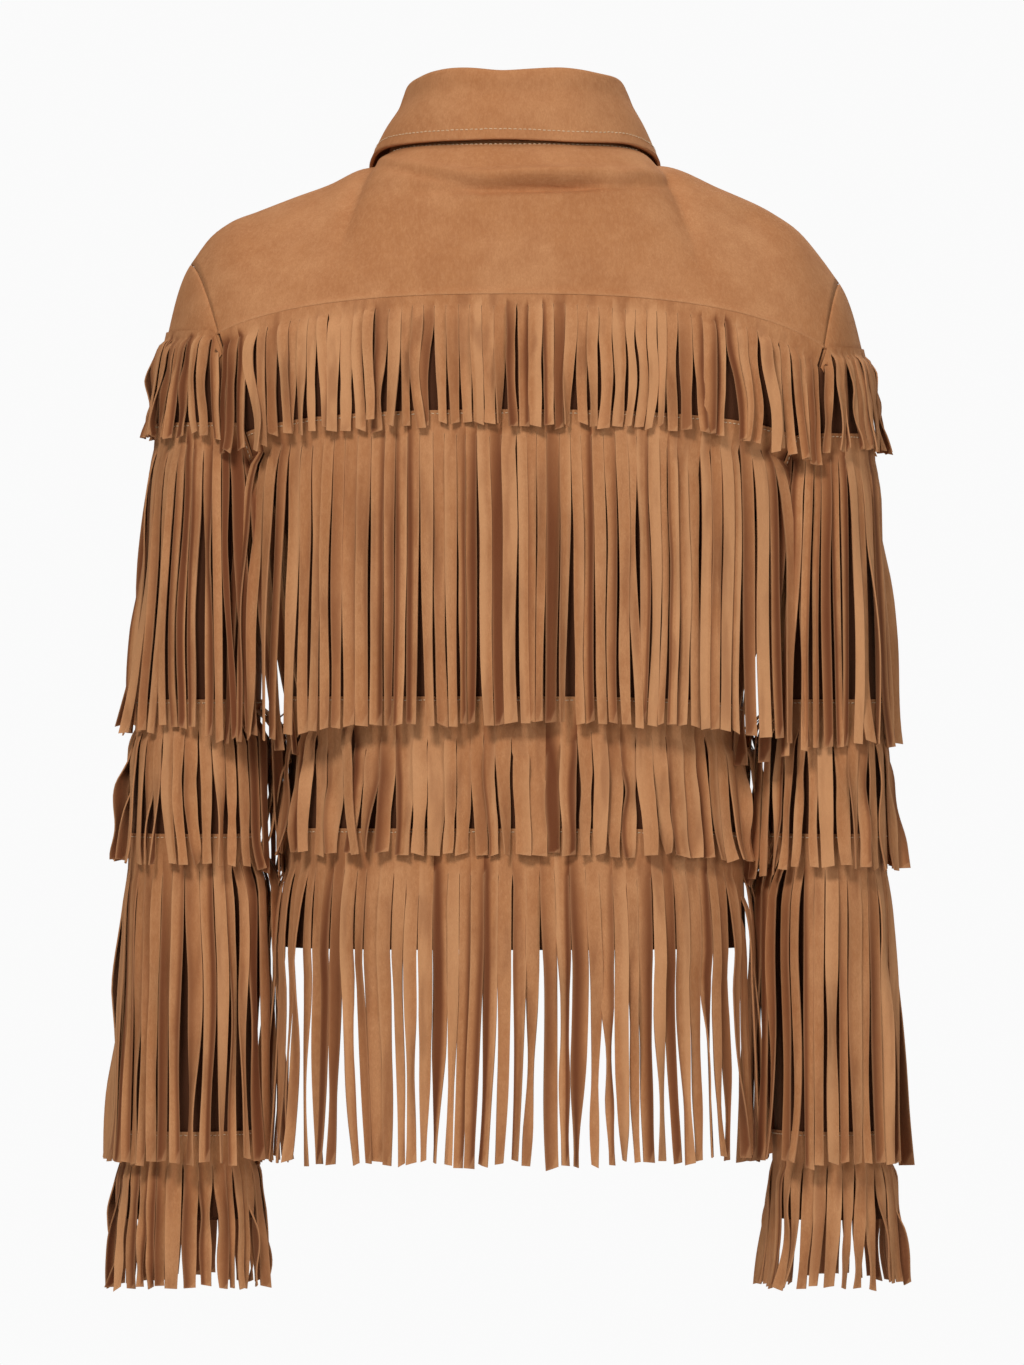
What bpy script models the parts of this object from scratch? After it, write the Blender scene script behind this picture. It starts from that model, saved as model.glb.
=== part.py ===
"""A suede jacket with a curved back yoke, a fold-down collar and tiers of cut fringe.

The jacket keeps the hollow form of a worn one. Its back faces -Y, its front +Y and +Z is up.
The origin is the middle of the neck at shoulder height, where the wearer carries it.
Side -1 is the left of the back view and side +1 the right of it.
"""

import math

import bmesh
import bpy
import numpy as np

OBJECT_NAME = "suede_jacket"
MM = 0.001  # sizes and tables are in millimetres and become metres where a mesh is made

# Colours and roughness
SUEDE = (0.49, 0.22, 0.088)
SUEDE_RAW = (0.53, 0.25, 0.105)
HORN = (0.09, 0.035, 0.015)
SUEDE_ROUGHNESS = 0.9
HORN_ROUGHNESS = 0.4

# Suede and gaps
WALL = 2.0  # a panel of suede
COLLAR_WALL = 2.4  # the collar, which is two layers
STRIP = 1.3  # a fringe strip and its band
PLACKET_WALL = 1.6
SEAM = 0.3  # between pieces that are sewn to each other
LIE = 1.0  # under a band that lies on a panel

# Neck seam, an ellipse seen from above that drops towards the front
NECK_HALF_WIDTH = 86.0
NECK_HALF_DEPTH = 65.0
NECK_MIDDLE_Y = 5.0
NECK_BACK_Z = 8.0
NECK_DROP = 66.0
NECK_DROP_POWER = 2.7
NECK_SHARE = 0.5  # share of a panel's top line that lies on the neck seam

SHOULDER_HALF_WIDTH = 209.0

# Height of the shoulder line. Columns: share of the way out, left height, right height
SHOULDER = [
    (0.00, -2.2, -2.2),
    (0.25, -9.5, -6.5),
    (0.45, -18.5, -18.0),
    (0.65, -28.0, -29.5),
    (0.80, -35.5, -42.5),
    (0.90, -45.0, -57.0),
    (1.00, -62.0, -74.0),
]

# Armhole, an oval in side view. Its turn runs from the shoulder point (0) to the armpit (180)
YOKE_TURN = 62.0  # where the yoke seam meets the armhole
ARMHOLE_TOP = {-1: -62.0, 1: -74.0}
ARMHOLE_BOTTOM = {-1: -238.0, 1: -240.0}
ARMHOLE_BACK_DEPTH = 74.0
ARMHOLE_FRONT_DEPTH = 64.0
ARMHOLE_FORWARD = 16.0  # how far forward of the shoulder point the armpit lies

# Half width at the armhole. Columns: share of the armhole's height, left, right
ARMHOLE_WIDTH = [
    (0.00, 209.0, 209.0),
    (0.27, 189.0, 197.0),
    (0.50, 178.0, 184.0),
    (0.78, 163.0, 166.0),
    (1.00, 151.0, 152.0),
]

# Centre line and roundness of the back above the armpit. Columns: turn, y, height, corner angle
BACK_MIDDLE = [
    (62.0, -97.0, -84.5, 58.0),
    (90.0, -105.0, -138.0, 66.0),
    (120.0, -108.0, -182.0, 76.0),
    (150.0, -108.5, -215.0, 88.0),
    (180.0, -108.0, -239.0, 97.0),
]

# The same for the front
FRONT_MIDDLE = [
    (62.0, 99.0, -125.0, 56.0),
    (90.0, 107.0, -160.0, 60.0),
    (120.0, 111.0, -192.0, 67.0),
    (150.0, 112.0, -218.0, 76.0),
    (180.0, 112.0, -239.0, 83.0),
]

# Body below the armpit. Columns: height, side seam x, side seam y, back y, front y
SKIRT = [
    (-501.0, 148.0, 20.0, -106.0, 108.0),
    (-440.0, 146.0, 20.0, -103.0, 106.0),
    (-380.0, 145.0, 20.0, -101.0, 105.0),
    (-300.0, 148.0, 18.0, -105.0, 110.0),
    (-239.0, 151.0, 16.0, -108.0, 112.0),
]
HEM = -501.0
ROUNDNESS = 0.8  # power of the sine and cosine in a body section; 1 is an ellipse

# Sleeve below its head. Columns: height, middle x, middle y, half width, half depth
SLEEVE = {
    -1: [
        (-676.0, 211.0, 12.0, 43.0, 47.0),
        (-640.0, 210.5, 10.0, 43.0, 48.0),
        (-500.0, 208.0, 5.0, 42.0, 52.0),
        (-356.0, 203.5, 1.0, 39.5, 57.0),
        (-250.0, 197.0, 0.0, 36.5, 60.0),
    ],
    1: [
        (-676.0, 205.0, 12.0, 37.0, 48.0),
        (-640.0, 204.5, 10.0, 37.0, 49.0),
        (-500.0, 202.5, 5.0, 36.5, 53.0),
        (-356.0, 200.5, 1.0, 36.0, 58.0),
        (-250.0, 197.5, 0.0, 35.0, 60.0),
    ],
}
SLEEVE_TOP_RING = -250.0
CUFF = -676.0
SLEEVE_ROUNDNESS = 0.88

# How the sleeve head leaves the armhole.
# Columns: height share, outward pull, downward pull, pull at its end
SLEEVE_HEAD = [
    (0.0, 12.0, 4.0, 14.0),
    (0.5, 46.0, 36.0, 90.0),
    (1.0, 57.0, 82.0, 170.0),
]

# Rows of the panels, as turns down the armhole and as shares of the skirt
YOKE_TURNS = [0.0, 9.0, 18.0, 27.0, 37.0, 49.0, 62.0]
FRONT_TOP_TURNS = [0.0, 16.0, 32.0, 47.0, 62.0]
ARMHOLE_TURNS = [62.0, 80.0, 100.0, 120.0, 140.0, 160.0, 180.0]
SKIRT_ROWS = 6
BACK_COLUMNS = 20
FRONT_COLUMNS = 10
SLEEVE_HEAD_ROWS = 4
SLEEVE_TUBE_ROWS = 8

# Soft folds of the yoke. Columns: across, down, half length across, half width down, height
YOKE_FOLDS = [
    (0.03, 0.36, 0.26, 0.13, 3.0),
    (-0.32, 0.16, 0.16, 0.10, 2.0),
    (0.74, 0.30, 0.10, 0.16, 2.0),
]

# Collar. Columns: turn from the centre back, fold x, y, z and outer edge x, y, z
COLLAR = [
    (0.0, 0.0, -50.0, 59.5, 0.0, -68.0, 16.0),
    (30.0, 33.0, -44.0, 60.0, 48.0, -59.0, 15.0),
    (60.0, 56.0, -24.0, 58.0, 81.0, -34.0, 11.0),
    (90.0, 64.5, 4.0, 50.0, 95.0, 3.0, 3.0),
    (120.0, 59.0, 34.0, 27.0, 91.0, 45.0, -13.0),
    (150.0, 37.0, 57.0, -9.0, 73.0, 86.0, -53.0),
    (170.0, 13.0, 66.0, -32.0, 45.0, 102.0, -86.0),
]
COLLAR_END_TURN = 170.0
COLLAR_COLUMNS = 22
STAND_SHARE = 0.84  # share of the way up to the fold where stand and fall are joined
STAND_FOOT = 2.6  # how far inside the neck seam the stand's foot lies
STAND_LIFT = 0.6
FOLD_RADIUS = 3.6
FALL_BULGE = 3.0

# Rows over the collar's fold, in fold radii. Columns: outward, upward
FOLD_ROWS = [
    (0.4, 0.0),
    (1.6, -0.1),
    (2.2, -1.2),
]

# Front closing
PLACKET_ACROSS = 0.047  # half width, as a share across a front
PLACKET_TOP = 0.06
PLACKET_FOOT = 2.985
BUTTON_HEIGHTS = [-84.0, -164.0, -244.0, -324.0, -404.0, -480.0]
BUTTON_RADIUS = 7.5
BUTTON_FACE_RADIUS = 6.4
BUTTON_THICKNESS = 3.0
BUTTON_SIDES = 16

# Fringe on the back. Columns: seam height at the middle, left and right, tip height at the same
# places, furthest place across, strips, band height, how far the tips stand off
BACK_FRINGE = [
    (-86.5, -112.0, -124.0, -169.0, -190.0, -196.0, 0.955, 20, 20.0, 3.6),
    (-151.0, -162.0, -163.0, -358.0, -371.0, -371.0, 0.95, 22, 22.0, 3.2),
    (-340.0, -340.0, -350.0, -442.0, -440.0, -448.0, 0.985, 24, 22.0, 3.2),
    (-424.0, -425.0, -430.0, -639.0, -636.0, -632.0, 0.985, 24, 24.0, 4.5),
]

# Fringe on a sleeve. Columns: seam height, tip height, start and end round the sleeve, strips, band
# height, how far the tips stand off. A start of 0 and an end of 1 is a whole ring
SLEEVE_FRINGE = {
    -1: [
        (-107.0, -175.0, -0.175, 0.225, 7, 18.0, 3.4),
        (-158.0, -360.0, -0.265, 0.315, 9, 22.0, 3.2),
        (-342.0, -447.0, 0.0, 1.0, 14, 22.0, 3.2),
        (-428.0, -638.0, 0.0, 1.0, 14, 24.0, 3.2),
        (-619.0, -720.0, 0.0, 1.0, 14, 21.0, 3.6),
    ],
    1: [
        (-119.0, -190.0, -0.175, 0.225, 7, 18.0, 3.4),
        (-162.0, -371.0, -0.265, 0.315, 9, 22.0, 3.2),
        (-342.0, -450.0, 0.0, 1.0, 14, 22.0, 3.2),
        (-428.0, -640.0, 0.0, 1.0, 14, 24.0, 3.2),
        (-619.0, -719.0, 0.0, 1.0, 14, 21.0, 3.6),
    ],
}
STRIP_FILL = 0.74  # share of the pitch that a strip takes
TIP_TAPER = 0.9
TIP_UNEVEN = 2.5  # how far tips differ in length, either way
TIP_WAVE = 2.4  # turn from one strip's length to the next one's, in radians
STRIP_SECTIONS = [0.5, 1.0]  # shares of a strip's length that have a section
LIFT_POWER = 1.5

# Where a strip looks for cloth under it
CLOTH_BESIDE = 1.5  # past the strip's own edges
CLOTH_BEHIND = 40.0  # behind its root
CLOTH_ABOVE = 0.3  # above a section, as a share of the strip's length
CLOTH_BELOW = 0.25
CLOTH_START = 0.02  # share of the strip's length under the root that is left out
NO_CLOTH = -100.0
CLOTH_ROWS = 160
CLOTH_COLUMNS = 150
BACK_CLOTH_TOP = 0.6  # place down the back where sampling starts
SLEEVE_CLOTH_TOP = 0.02

# Ways of measuring
STEP = 0.004  # for slopes of the surfaces
HALVINGS = 40
ACROSS_CENTRE = 1e-6  # stands for 0 across on either front
BODY_AXIS_SHARE = 0.5  # the body's inner point lies at this share of a point's x
BODY_AXIS_DROP = 60.0
SLEEVE_AXIS_DROP = 12.0
SHARP_ANGLE = 50


def through(table, column, at):
    """A smooth curve through a table: cubic pieces whose slopes come from the rows around."""
    knots = np.array([row[0] for row in table])
    values = np.array([row[column] for row in table])
    slopes = np.gradient(values, knots)
    place = np.clip(np.searchsorted(knots, at, side="right") - 1, 0, len(knots) - 2)
    width = knots[place + 1] - knots[place]
    share = (at - knots[place]) / width
    first = (1 + 2 * share) * (1 - share) ** 2 * values[place]
    second = share**2 * (3 - 2 * share) * values[place + 1]
    leave = share * (1 - share) ** 2 * width * slopes[place]
    reach = share**2 * (share - 1) * width * slopes[place + 1]
    return first + second + leave + reach


def by_side(across, left, right):
    return np.where(across < 0, left, right)


def power(value, exponent):
    return np.sign(value) * np.abs(value) ** exponent


def neck_point(turn):
    """Neck seam at a turn from the centre back (0) round to the centre front (pi)."""
    share = (1 - np.cos(turn)) / 2
    x = NECK_HALF_WIDTH * np.sin(turn)
    y = NECK_MIDDLE_Y - NECK_HALF_DEPTH * np.cos(turn)
    z = NECK_BACK_Z - NECK_DROP * np.abs(share) ** NECK_DROP_POWER
    return x, y, z


def top_line(across, front):
    """The neck seam out to the neck point, then the shoulder line out to the armhole."""
    share = np.abs(across)
    turn = np.minimum(share / NECK_SHARE, 1.0) * math.pi / 2
    if front:
        turn = math.pi - turn
    neck_x, neck_y, neck_z = neck_point(turn)
    along = np.maximum(share - NECK_SHARE, 0.0) / (1 - NECK_SHARE)
    shoulder_x = NECK_HALF_WIDTH + along * (SHOULDER_HALF_WIDTH - NECK_HALF_WIDTH)
    shoulder_z = by_side(across, through(SHOULDER, 1, along), through(SHOULDER, 2, along))
    on_neck = share < NECK_SHARE
    x = np.where(on_neck, neck_x, shoulder_x)
    y = np.where(on_neck, neck_y, NECK_MIDDLE_Y * (1 - along))
    z = np.where(on_neck, neck_z, shoulder_z)
    return np.sign(across) * x, y, z


def section(across, side_x, side_y, middle_y, corner):
    """Part of a rounded oval from the centre line out to the side point."""
    angle = np.abs(across) * np.radians(corner)
    x = side_x * power(np.sin(angle), ROUNDNESS) / power(np.sin(np.radians(corner)), ROUNDNESS)
    end = power(np.cos(np.radians(corner)), ROUNDNESS)
    deep = (middle_y - side_y) / (1 - end)
    return np.sign(across) * x, side_y + deep * (power(np.cos(angle), ROUNDNESS) - end)


def armhole_row(across, turn, front):
    """A row of a panel that ends at the armhole, at a turn (degrees) down the armhole."""
    top = by_side(across, ARMHOLE_TOP[-1], ARMHOLE_TOP[1])
    bottom = by_side(across, ARMHOLE_BOTTOM[-1], ARMHOLE_BOTTOM[1])
    share = (1 - np.cos(np.radians(turn))) / 2
    side_z = top + (bottom - top) * share
    widths = by_side(across, through(ARMHOLE_WIDTH, 1, share), through(ARMHOLE_WIDTH, 2, share))
    depth = ARMHOLE_FRONT_DEPTH if front else -ARMHOLE_BACK_DEPTH
    side_y = depth * np.sin(np.radians(turn)) + ARMHOLE_FORWARD * share
    middle = FRONT_MIDDLE if front else BACK_MIDDLE
    corner = through(middle, 3, turn)
    x, y = section(across, widths, side_y, through(middle, 1, turn), corner)
    middle_z = through(middle, 2, turn)
    return x, y, middle_z + (side_z - middle_z) * across**2


def skirt_row(across, share, front):
    """A row below the armpit, at a share of the way down to the hem."""
    bottom = by_side(across, ARMHOLE_BOTTOM[-1], ARMHOLE_BOTTOM[1])
    middle = FRONT_MIDDLE if front else BACK_MIDDLE
    start = middle[-1][2] + (bottom - middle[-1][2]) * across**2
    z = start + (HEM - start) * share
    column = 4 if front else 3
    corner = middle[-1][3]
    x, y = section(across, through(SKIRT, 1, z), through(SKIRT, 2, z), through(SKIRT, column, z), corner)
    return x, y, z


def body(across, down, front):
    """Outer face of the body; down is 0 on the shoulder, 1 at the yoke seam, 2 at the armpit, 3 at the hem."""
    across = np.asarray(across, float)
    across, down = np.broadcast_arrays(across, np.asarray(down, float))
    turn = np.radians(YOKE_TURN) * down
    back_share = np.sin(turn) / math.sin(math.radians(YOKE_TURN))
    drop_share = (1 - np.cos(turn)) / (1 - math.cos(math.radians(YOKE_TURN)))
    high = np.array(top_line(across, front))
    low = np.array(armhole_row(across, np.full_like(down, YOKE_TURN), front))
    shares = np.array([(back_share + drop_share) / 2, back_share, drop_share])
    upper = high + (low - high) * shares
    armhole_turn = YOKE_TURN + (180 - YOKE_TURN) * (down - 1)
    middle = np.array(armhole_row(across, armhole_turn, front))
    lower = np.array(skirt_row(across, down - 2, front))
    points = np.where(down < 1, upper, np.where(down < 2, middle, lower))
    return np.moveaxis(points, 0, -1)


def turn_to_down(turn):
    """Place down a panel of a turn down the armhole."""
    return turn / YOKE_TURN if turn <= YOKE_TURN else 1 + (turn - YOKE_TURN) / (180 - YOKE_TURN)


BACK_ARMHOLE_ROWS = [turn_to_down(t) for t in YOKE_TURNS + ARMHOLE_TURNS[1:]]
FRONT_ARMHOLE_ROWS = [turn_to_down(t) for t in FRONT_TOP_TURNS + ARMHOLE_TURNS[1:]]
SKIRT_DOWNS = list(2 + np.linspace(0, 1, SKIRT_ROWS + 1))[1:]


def armhole(side, around):
    """Armhole seam round from the shoulder point (0) by the back to the armpit (0.5) and the front (1)."""
    around = np.mod(around, 1.0)
    back_places = np.linspace(0, 0.5, len(BACK_ARMHOLE_ROWS))
    front_places = np.linspace(0, 0.5, len(FRONT_ARMHOLE_ROWS))
    back = body(float(side), np.interp(around, back_places, BACK_ARMHOLE_ROWS), False)
    front = body(float(side), np.interp(1 - around, front_places, FRONT_ARMHOLE_ROWS), True)
    return np.where((around <= 0.5)[..., None], back, front)


def sleeve_ring(side, around, z):
    """A section of the sleeve: a rounded oval at a height, outermost at 0 and at the back at 0.25."""
    turn = 2 * math.pi * around
    table = SLEEVE[side]
    x = through(table, 1, z) + through(table, 3, z) * power(np.cos(turn), SLEEVE_ROUNDNESS)
    y = through(table, 2, z) - through(table, 4, z) * power(np.sin(turn), SLEEVE_ROUNDNESS)
    return np.stack([side * x, y, z], axis=-1)


def sleeve(side, around, down):
    """Outer face of a sleeve: a head from the armhole to its first ring (down 0 to 1), then a tube to 2."""
    around, down = np.broadcast_arrays(np.asarray(around, float), np.asarray(down, float))
    start = armhole(side, around)
    ring = sleeve_ring(side, around, np.full_like(down, SLEEVE_TOP_RING))
    height = (1 + np.cos(2 * math.pi * around)) / 2
    outward = side * through(SLEEVE_HEAD, 1, height)
    fall = -through(SLEEVE_HEAD, 2, height)
    leave = np.stack([outward, np.zeros_like(fall), fall], axis=-1)
    arrive = np.stack([0 * fall, 0 * fall, -through(SLEEVE_HEAD, 3, height)], axis=-1)
    t = down[..., None]
    head = (1 + 2 * t) * (1 - t) ** 2 * start + t * (1 - t) ** 2 * leave
    head = head + t**2 * (3 - 2 * t) * ring + t**2 * (t - 1) * arrive
    tube = sleeve_ring(side, around, SLEEVE_TOP_RING + (CUFF - SLEEVE_TOP_RING) * (down - 1))
    return np.where(t < 1, head, tube)


def normals(surface, across, down):
    """Unit normals of a surface function, from its slopes each way."""
    along = surface(across + STEP, down) - surface(across - STEP, down)
    below = surface(across, down + STEP) - surface(across, down - STEP)
    crossed = np.cross(along, below)
    return crossed / np.linalg.norm(crossed, axis=-1, keepdims=True)


def back(across, down):
    return body(across, down, False)


def front(across, down):
    return body(across, down, True)


def outward_normals(surface, across, down, towards):
    """Normals that face away from a point inside the form."""
    found = normals(surface, across, down)
    away = surface(across, down) - towards(surface(across, down))
    flip = np.sign(np.sum(found * away, axis=-1, keepdims=True))
    return found * np.where(flip == 0, 1, flip)


def body_inside(points):
    """A point of the body's inner axis for each point."""
    return points * [BODY_AXIS_SHARE, 0.0, 1.0] - [0.0, 0.0, BODY_AXIS_DROP]


def sleeve_inside(side):
    """The sleeve's inner axis, as a function of points."""

    def inside(points):
        heights = points[..., 2] - SLEEVE_AXIS_DROP
        middle = through(SLEEVE[side], 1, np.clip(heights, CUFF, SLEEVE_TOP_RING))
        return np.stack([side * middle, 0 * middle, heights], axis=-1)

    return inside


def pull_in(grid, axis, last, amount):
    """Move an edge row or column of a grid towards the next one by an amount, to leave a seam's gap."""
    lines = np.moveaxis(grid, axis, 0)
    edge = -1 if last else 0
    following = -2 if last else 1
    step = lines[following] - lines[edge]
    lines[edge] += amount * step / np.linalg.norm(step, axis=-1, keepdims=True)


def square_shoulder(face, across):
    """Turn the rim's normals along the shoulder seam square to it, so that both rims are parallel."""
    on_shoulder = np.abs(across[0]) > NECK_SHARE - STEP
    rim = face[0]
    rim[on_shoulder, 1] = 0.0
    face[0] = rim / np.linalg.norm(rim, axis=-1, keepdims=True)


def new_object(name, vertices, faces, color, roughness):
    """A closed mesh object with its own material and with its faces pointing out."""
    mesh = bpy.data.meshes.new(name)
    mesh.from_pydata([tuple(v) for v in np.asarray(vertices) * MM], [], faces)
    shape = bmesh.new()
    shape.from_mesh(mesh)
    bmesh.ops.recalc_face_normals(shape, faces=shape.faces)
    shape.to_mesh(mesh)
    shape.free()
    mesh.shade_smooth()
    mesh.set_sharp_from_angle(angle=math.radians(SHARP_ANGLE))
    return add_object(name, mesh, color, roughness)


def add_object(name, mesh, color, roughness):
    obj = bpy.data.objects.new(name, mesh)
    bpy.data.collections[OBJECT_NAME].objects.link(obj)
    material = bpy.data.materials.new(name)
    material.use_nodes = True
    shader = material.node_tree.nodes["Principled BSDF"]
    shader.inputs["Base Color"].default_value = (*color, 1.0)
    shader.inputs["Roughness"].default_value = roughness
    shader.inputs["Metallic"].default_value = 0.0
    mesh.materials.append(material)
    return obj


def wall(name, outer, inner, closed=False):
    """A suede wall between two grids of points (rows, columns), closed at its edges or round its columns."""
    rows, columns = outer.shape[:2]
    vertices = np.concatenate([outer.reshape(-1, 3), inner.reshape(-1, 3)])
    half = rows * columns
    spans = columns if closed else columns - 1
    faces = []
    for row in range(rows - 1):
        for column in range(spans):
            a = row * columns + column
            b = row * columns + (column + 1) % columns
            faces.append((a, b, b + columns, a + columns))
            faces.append((half + a, half + a + columns, half + b + columns, half + b))
    for row in (0, rows - 1):
        for column in range(spans):
            a = row * columns + column
            b = row * columns + (column + 1) % columns
            faces.append((a, b, half + b, half + a))
    if not closed:
        for column in (0, columns - 1):
            for row in range(rows - 1):
                a = row * columns + column
                faces.append((a, a + columns, half + a + columns, half + a))
    return new_object(name, vertices, faces, SUEDE, SUEDE_ROUGHNESS)


def rows_and_columns(downs, acrosses):
    down, across = np.meshgrid(downs, acrosses, indexing="ij")
    return across, down


def make_back():
    """The yoke over the shoulders and the back panel below it, round to the side seams."""
    acrosses = np.linspace(-1, 1, BACK_COLUMNS + 1)
    across, down = rows_and_columns([turn_to_down(t) for t in YOKE_TURNS], acrosses)
    outer = back(across, down)
    face = outward_normals(back, across, down, body_inside)
    square_shoulder(face, across)
    raised = np.zeros_like(across)
    for at_across, at_down, length, width, height in YOKE_FOLDS:
        along = (across - at_across) / length
        beside = (down - at_down) / width
        raised += height * np.exp(-(along**2) - beside**2)
    outer = outer + face * raised[..., None]
    pull_in(outer, 0, False, SEAM / 2)
    pull_in(outer, 0, True, SEAM / 2)
    wall("back_yoke", outer, outer - face * WALL)
    downs = [turn_to_down(t) for t in ARMHOLE_TURNS] + SKIRT_DOWNS
    across, down = rows_and_columns(downs, acrosses)
    outer = back(across, down)
    face = outward_normals(back, across, down, body_inside)
    pull_in(outer, 0, False, SEAM / 2)
    pull_in(outer, 1, False, SEAM / 2)
    pull_in(outer, 1, True, SEAM / 2)
    wall("back_panel", outer, outer - face * WALL)


def make_fronts():
    """The two fronts, which meet at the centre under the placket."""
    downs = FRONT_ARMHOLE_ROWS + SKIRT_DOWNS
    for side, name in ((-1, "front_left"), (1, "front_right")):
        acrosses = side * np.linspace(0, 1, FRONT_COLUMNS + 1)
        across, down = rows_and_columns(downs, acrosses)
        across = np.where(across == 0, side * ACROSS_CENTRE, across)
        outer = front(across, down)
        face = outward_normals(front, across, down, body_inside)
        square_shoulder(face, across)
        pull_in(outer, 0, False, SEAM / 2)
        pull_in(outer, 1, False, SEAM / 2)
        pull_in(outer, 1, True, SEAM / 2)
        wall(name, outer, outer - face * WALL)


def make_sleeves():
    """The sleeves, whose columns start at the ends of the panels' rows."""
    back_places = np.linspace(0, 0.5, len(BACK_ARMHOLE_ROWS))
    front_places = 1 - np.linspace(0, 0.5, len(FRONT_ARMHOLE_ROWS))[::-1]
    places = np.concatenate([back_places, front_places[1:-1]])
    downs = np.concatenate(
        [np.linspace(0, 1, SLEEVE_HEAD_ROWS + 1), 1 + np.linspace(0, 1, SLEEVE_TUBE_ROWS + 1)[1:]]
    )
    for side, name in ((-1, "sleeve_left"), (1, "sleeve_right")):
        around, down = rows_and_columns(downs, places)
        shape = sleeve_shape(side)
        outer = shape(around, down)
        face = outward_normals(shape, around, down, sleeve_inside(side))
        pull_in(outer, 0, False, SEAM)
        wall(name, outer, outer - face * WALL, closed=True)


def sleeve_shape(side):
    """The sleeve of one side as a surface function."""

    def shape(around, down):
        return sleeve(side, around, down)

    return shape


def collar_lines(turns):
    """Neck, fold and edge points of the collar at signed turns (degrees) from the centre back."""
    sign = np.where(turns < 0, -1.0, 1.0)
    size = np.abs(turns)
    neck = np.stack(neck_point(np.radians(size)), axis=-1)
    fold = np.stack([through(COLLAR, column, size) for column in (1, 2, 3)], axis=-1)
    edge = np.stack([through(COLLAR, column, size) for column in (4, 5, 6)], axis=-1)
    mirror = np.stack([sign, np.ones_like(sign), np.ones_like(sign)], axis=-1)
    return neck * mirror, fold * mirror, edge * mirror


def level_outward(line):
    """Unit directions, level and away from the neck, along a line round it."""
    along = np.gradient(line, axis=0)
    out = np.stack([-along[:, 1], along[:, 0], 0 * along[:, 0]], axis=-1)
    away = line - [0.0, NECK_MIDDLE_Y, 0.0]
    out = out * np.sign(np.sum(out * away * [1, 1, 0], axis=-1, keepdims=True))
    return out / np.linalg.norm(out, axis=-1, keepdims=True)


def grid_normals(grid):
    """Unit normals of a grid of points, from its neighbours."""
    along = np.gradient(grid, axis=1)
    below = np.gradient(grid, axis=0)
    crossed = np.cross(along, below)
    return crossed / np.linalg.norm(crossed, axis=-1, keepdims=True)


def make_collar():
    """The stand from the neck seam up, and the fall from the stand over the fold to its edge."""
    turns = np.linspace(-COLLAR_END_TURN, COLLAR_END_TURN, COLLAR_COLUMNS + 1)
    neck, fold, edge = collar_lines(turns)
    out = level_outward(fold)
    up = np.array([0.0, 0.0, 1.0])
    foot = neck - out * STAND_FOOT + up * STAND_LIFT
    join = foot + (fold - foot) * STAND_SHARE
    stand = np.stack([foot, (foot + join) / 2, join])
    face = grid_normals(stand)
    face = face * np.sign(np.sum(face * out, axis=-1, keepdims=True))
    half = COLLAR_WALL / 2
    wall("collar_stand", stand + face * half, stand - face * half)
    start = join + (fold - foot) * SEAM / np.linalg.norm(fold - foot, axis=-1, keepdims=True)
    drop = edge - fold
    over_fold = [fold + (out * outward + up * upward) * FOLD_RADIUS for outward, upward in FOLD_ROWS]
    rows = [
        start,
        foot + (fold - foot) * (STAND_SHARE + 1) / 2,
        *over_fold,
        fold + drop * 0.5 + out * FALL_BULGE,
        edge,
    ]
    middle = np.stack(rows)
    face = grid_normals(middle)
    facing = np.sum(face[-2] * out, axis=-1, keepdims=True)
    face = face * np.sign(facing)
    wall("collar_fall", middle + face * half, middle - face * half)


def make_placket():
    """The button band over the centre front, and its buttons."""
    downs = [PLACKET_TOP] + FRONT_ARMHOLE_ROWS[1:] + SKIRT_DOWNS[:-1] + [PLACKET_FOOT]
    across, down = rows_and_columns(downs, [-PLACKET_ACROSS, 0.0, PLACKET_ACROSS])
    lying = front(across, down)
    lying[:, 1, 0] = 0.0
    face = outward_normals(front, across, down, body_inside)
    face[:, :, 0] = 0.0
    wall("front_placket", lying + face * (LIE + PLACKET_WALL), lying + face * LIE)
    middle = lying[:, 1]
    for number, height in enumerate(BUTTON_HEIGHTS, start=1):
        order = np.argsort(middle[:, 2])
        at_y = np.interp(height, middle[order, 2], middle[order, 1])
        slope = np.interp(height, middle[order, 2], face[order, 1, 2])
        normal = np.array([0.0, math.sqrt(1 - slope**2), slope])
        off = LIE + PLACKET_WALL + SEAM + BUTTON_THICKNESS / 2
        make_button(f"button_{number}", np.array([0.0, at_y, height]) + normal * off, normal)


def make_button(name, centre, normal):
    """A round button with a slightly smaller face, turned to the cloth it lies on."""
    shape = bmesh.new()
    bmesh.ops.create_cone(
        shape,
        cap_ends=True,
        segments=BUTTON_SIDES,
        radius1=BUTTON_RADIUS * MM,
        radius2=BUTTON_FACE_RADIUS * MM,
        depth=BUTTON_THICKNESS * MM,
    )
    mesh = bpy.data.meshes.new(name)
    shape.to_mesh(mesh)
    shape.free()
    obj = add_object(name, mesh, HORN, HORN_ROUGHNESS)
    obj.location = tuple(centre * MM)
    obj.rotation_euler = (-math.atan2(normal[1], normal[2]), 0.0, 0.0)


def find_down(surface, across, height):
    """Where a surface passes a height, down each of its columns, by halving."""
    low = np.zeros_like(across)
    high = np.full_like(across, 3.0)
    for _ in range(HALVINGS):
        middle = (low + high) / 2
        above = surface(across, middle)[..., 2] > height
        low = np.where(above, middle, low)
        high = np.where(above, high, middle)
    return (low + high) / 2


def reach_out(samples, root, out, half_width, low, high):
    """How far the cloth stands out from a root in the strip's own width, between two heights."""
    sideways = np.array([-out[1], out[0], 0.0])
    offset = samples - root
    near = np.abs(offset @ sideways) < half_width + CLOTH_BESIDE
    near &= (samples[:, 2] > low) & (samples[:, 2] < high)
    near &= offset @ out > -CLOTH_BEHIND
    return (offset[near] @ out).max() if near.any() else NO_CLOTH


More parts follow.
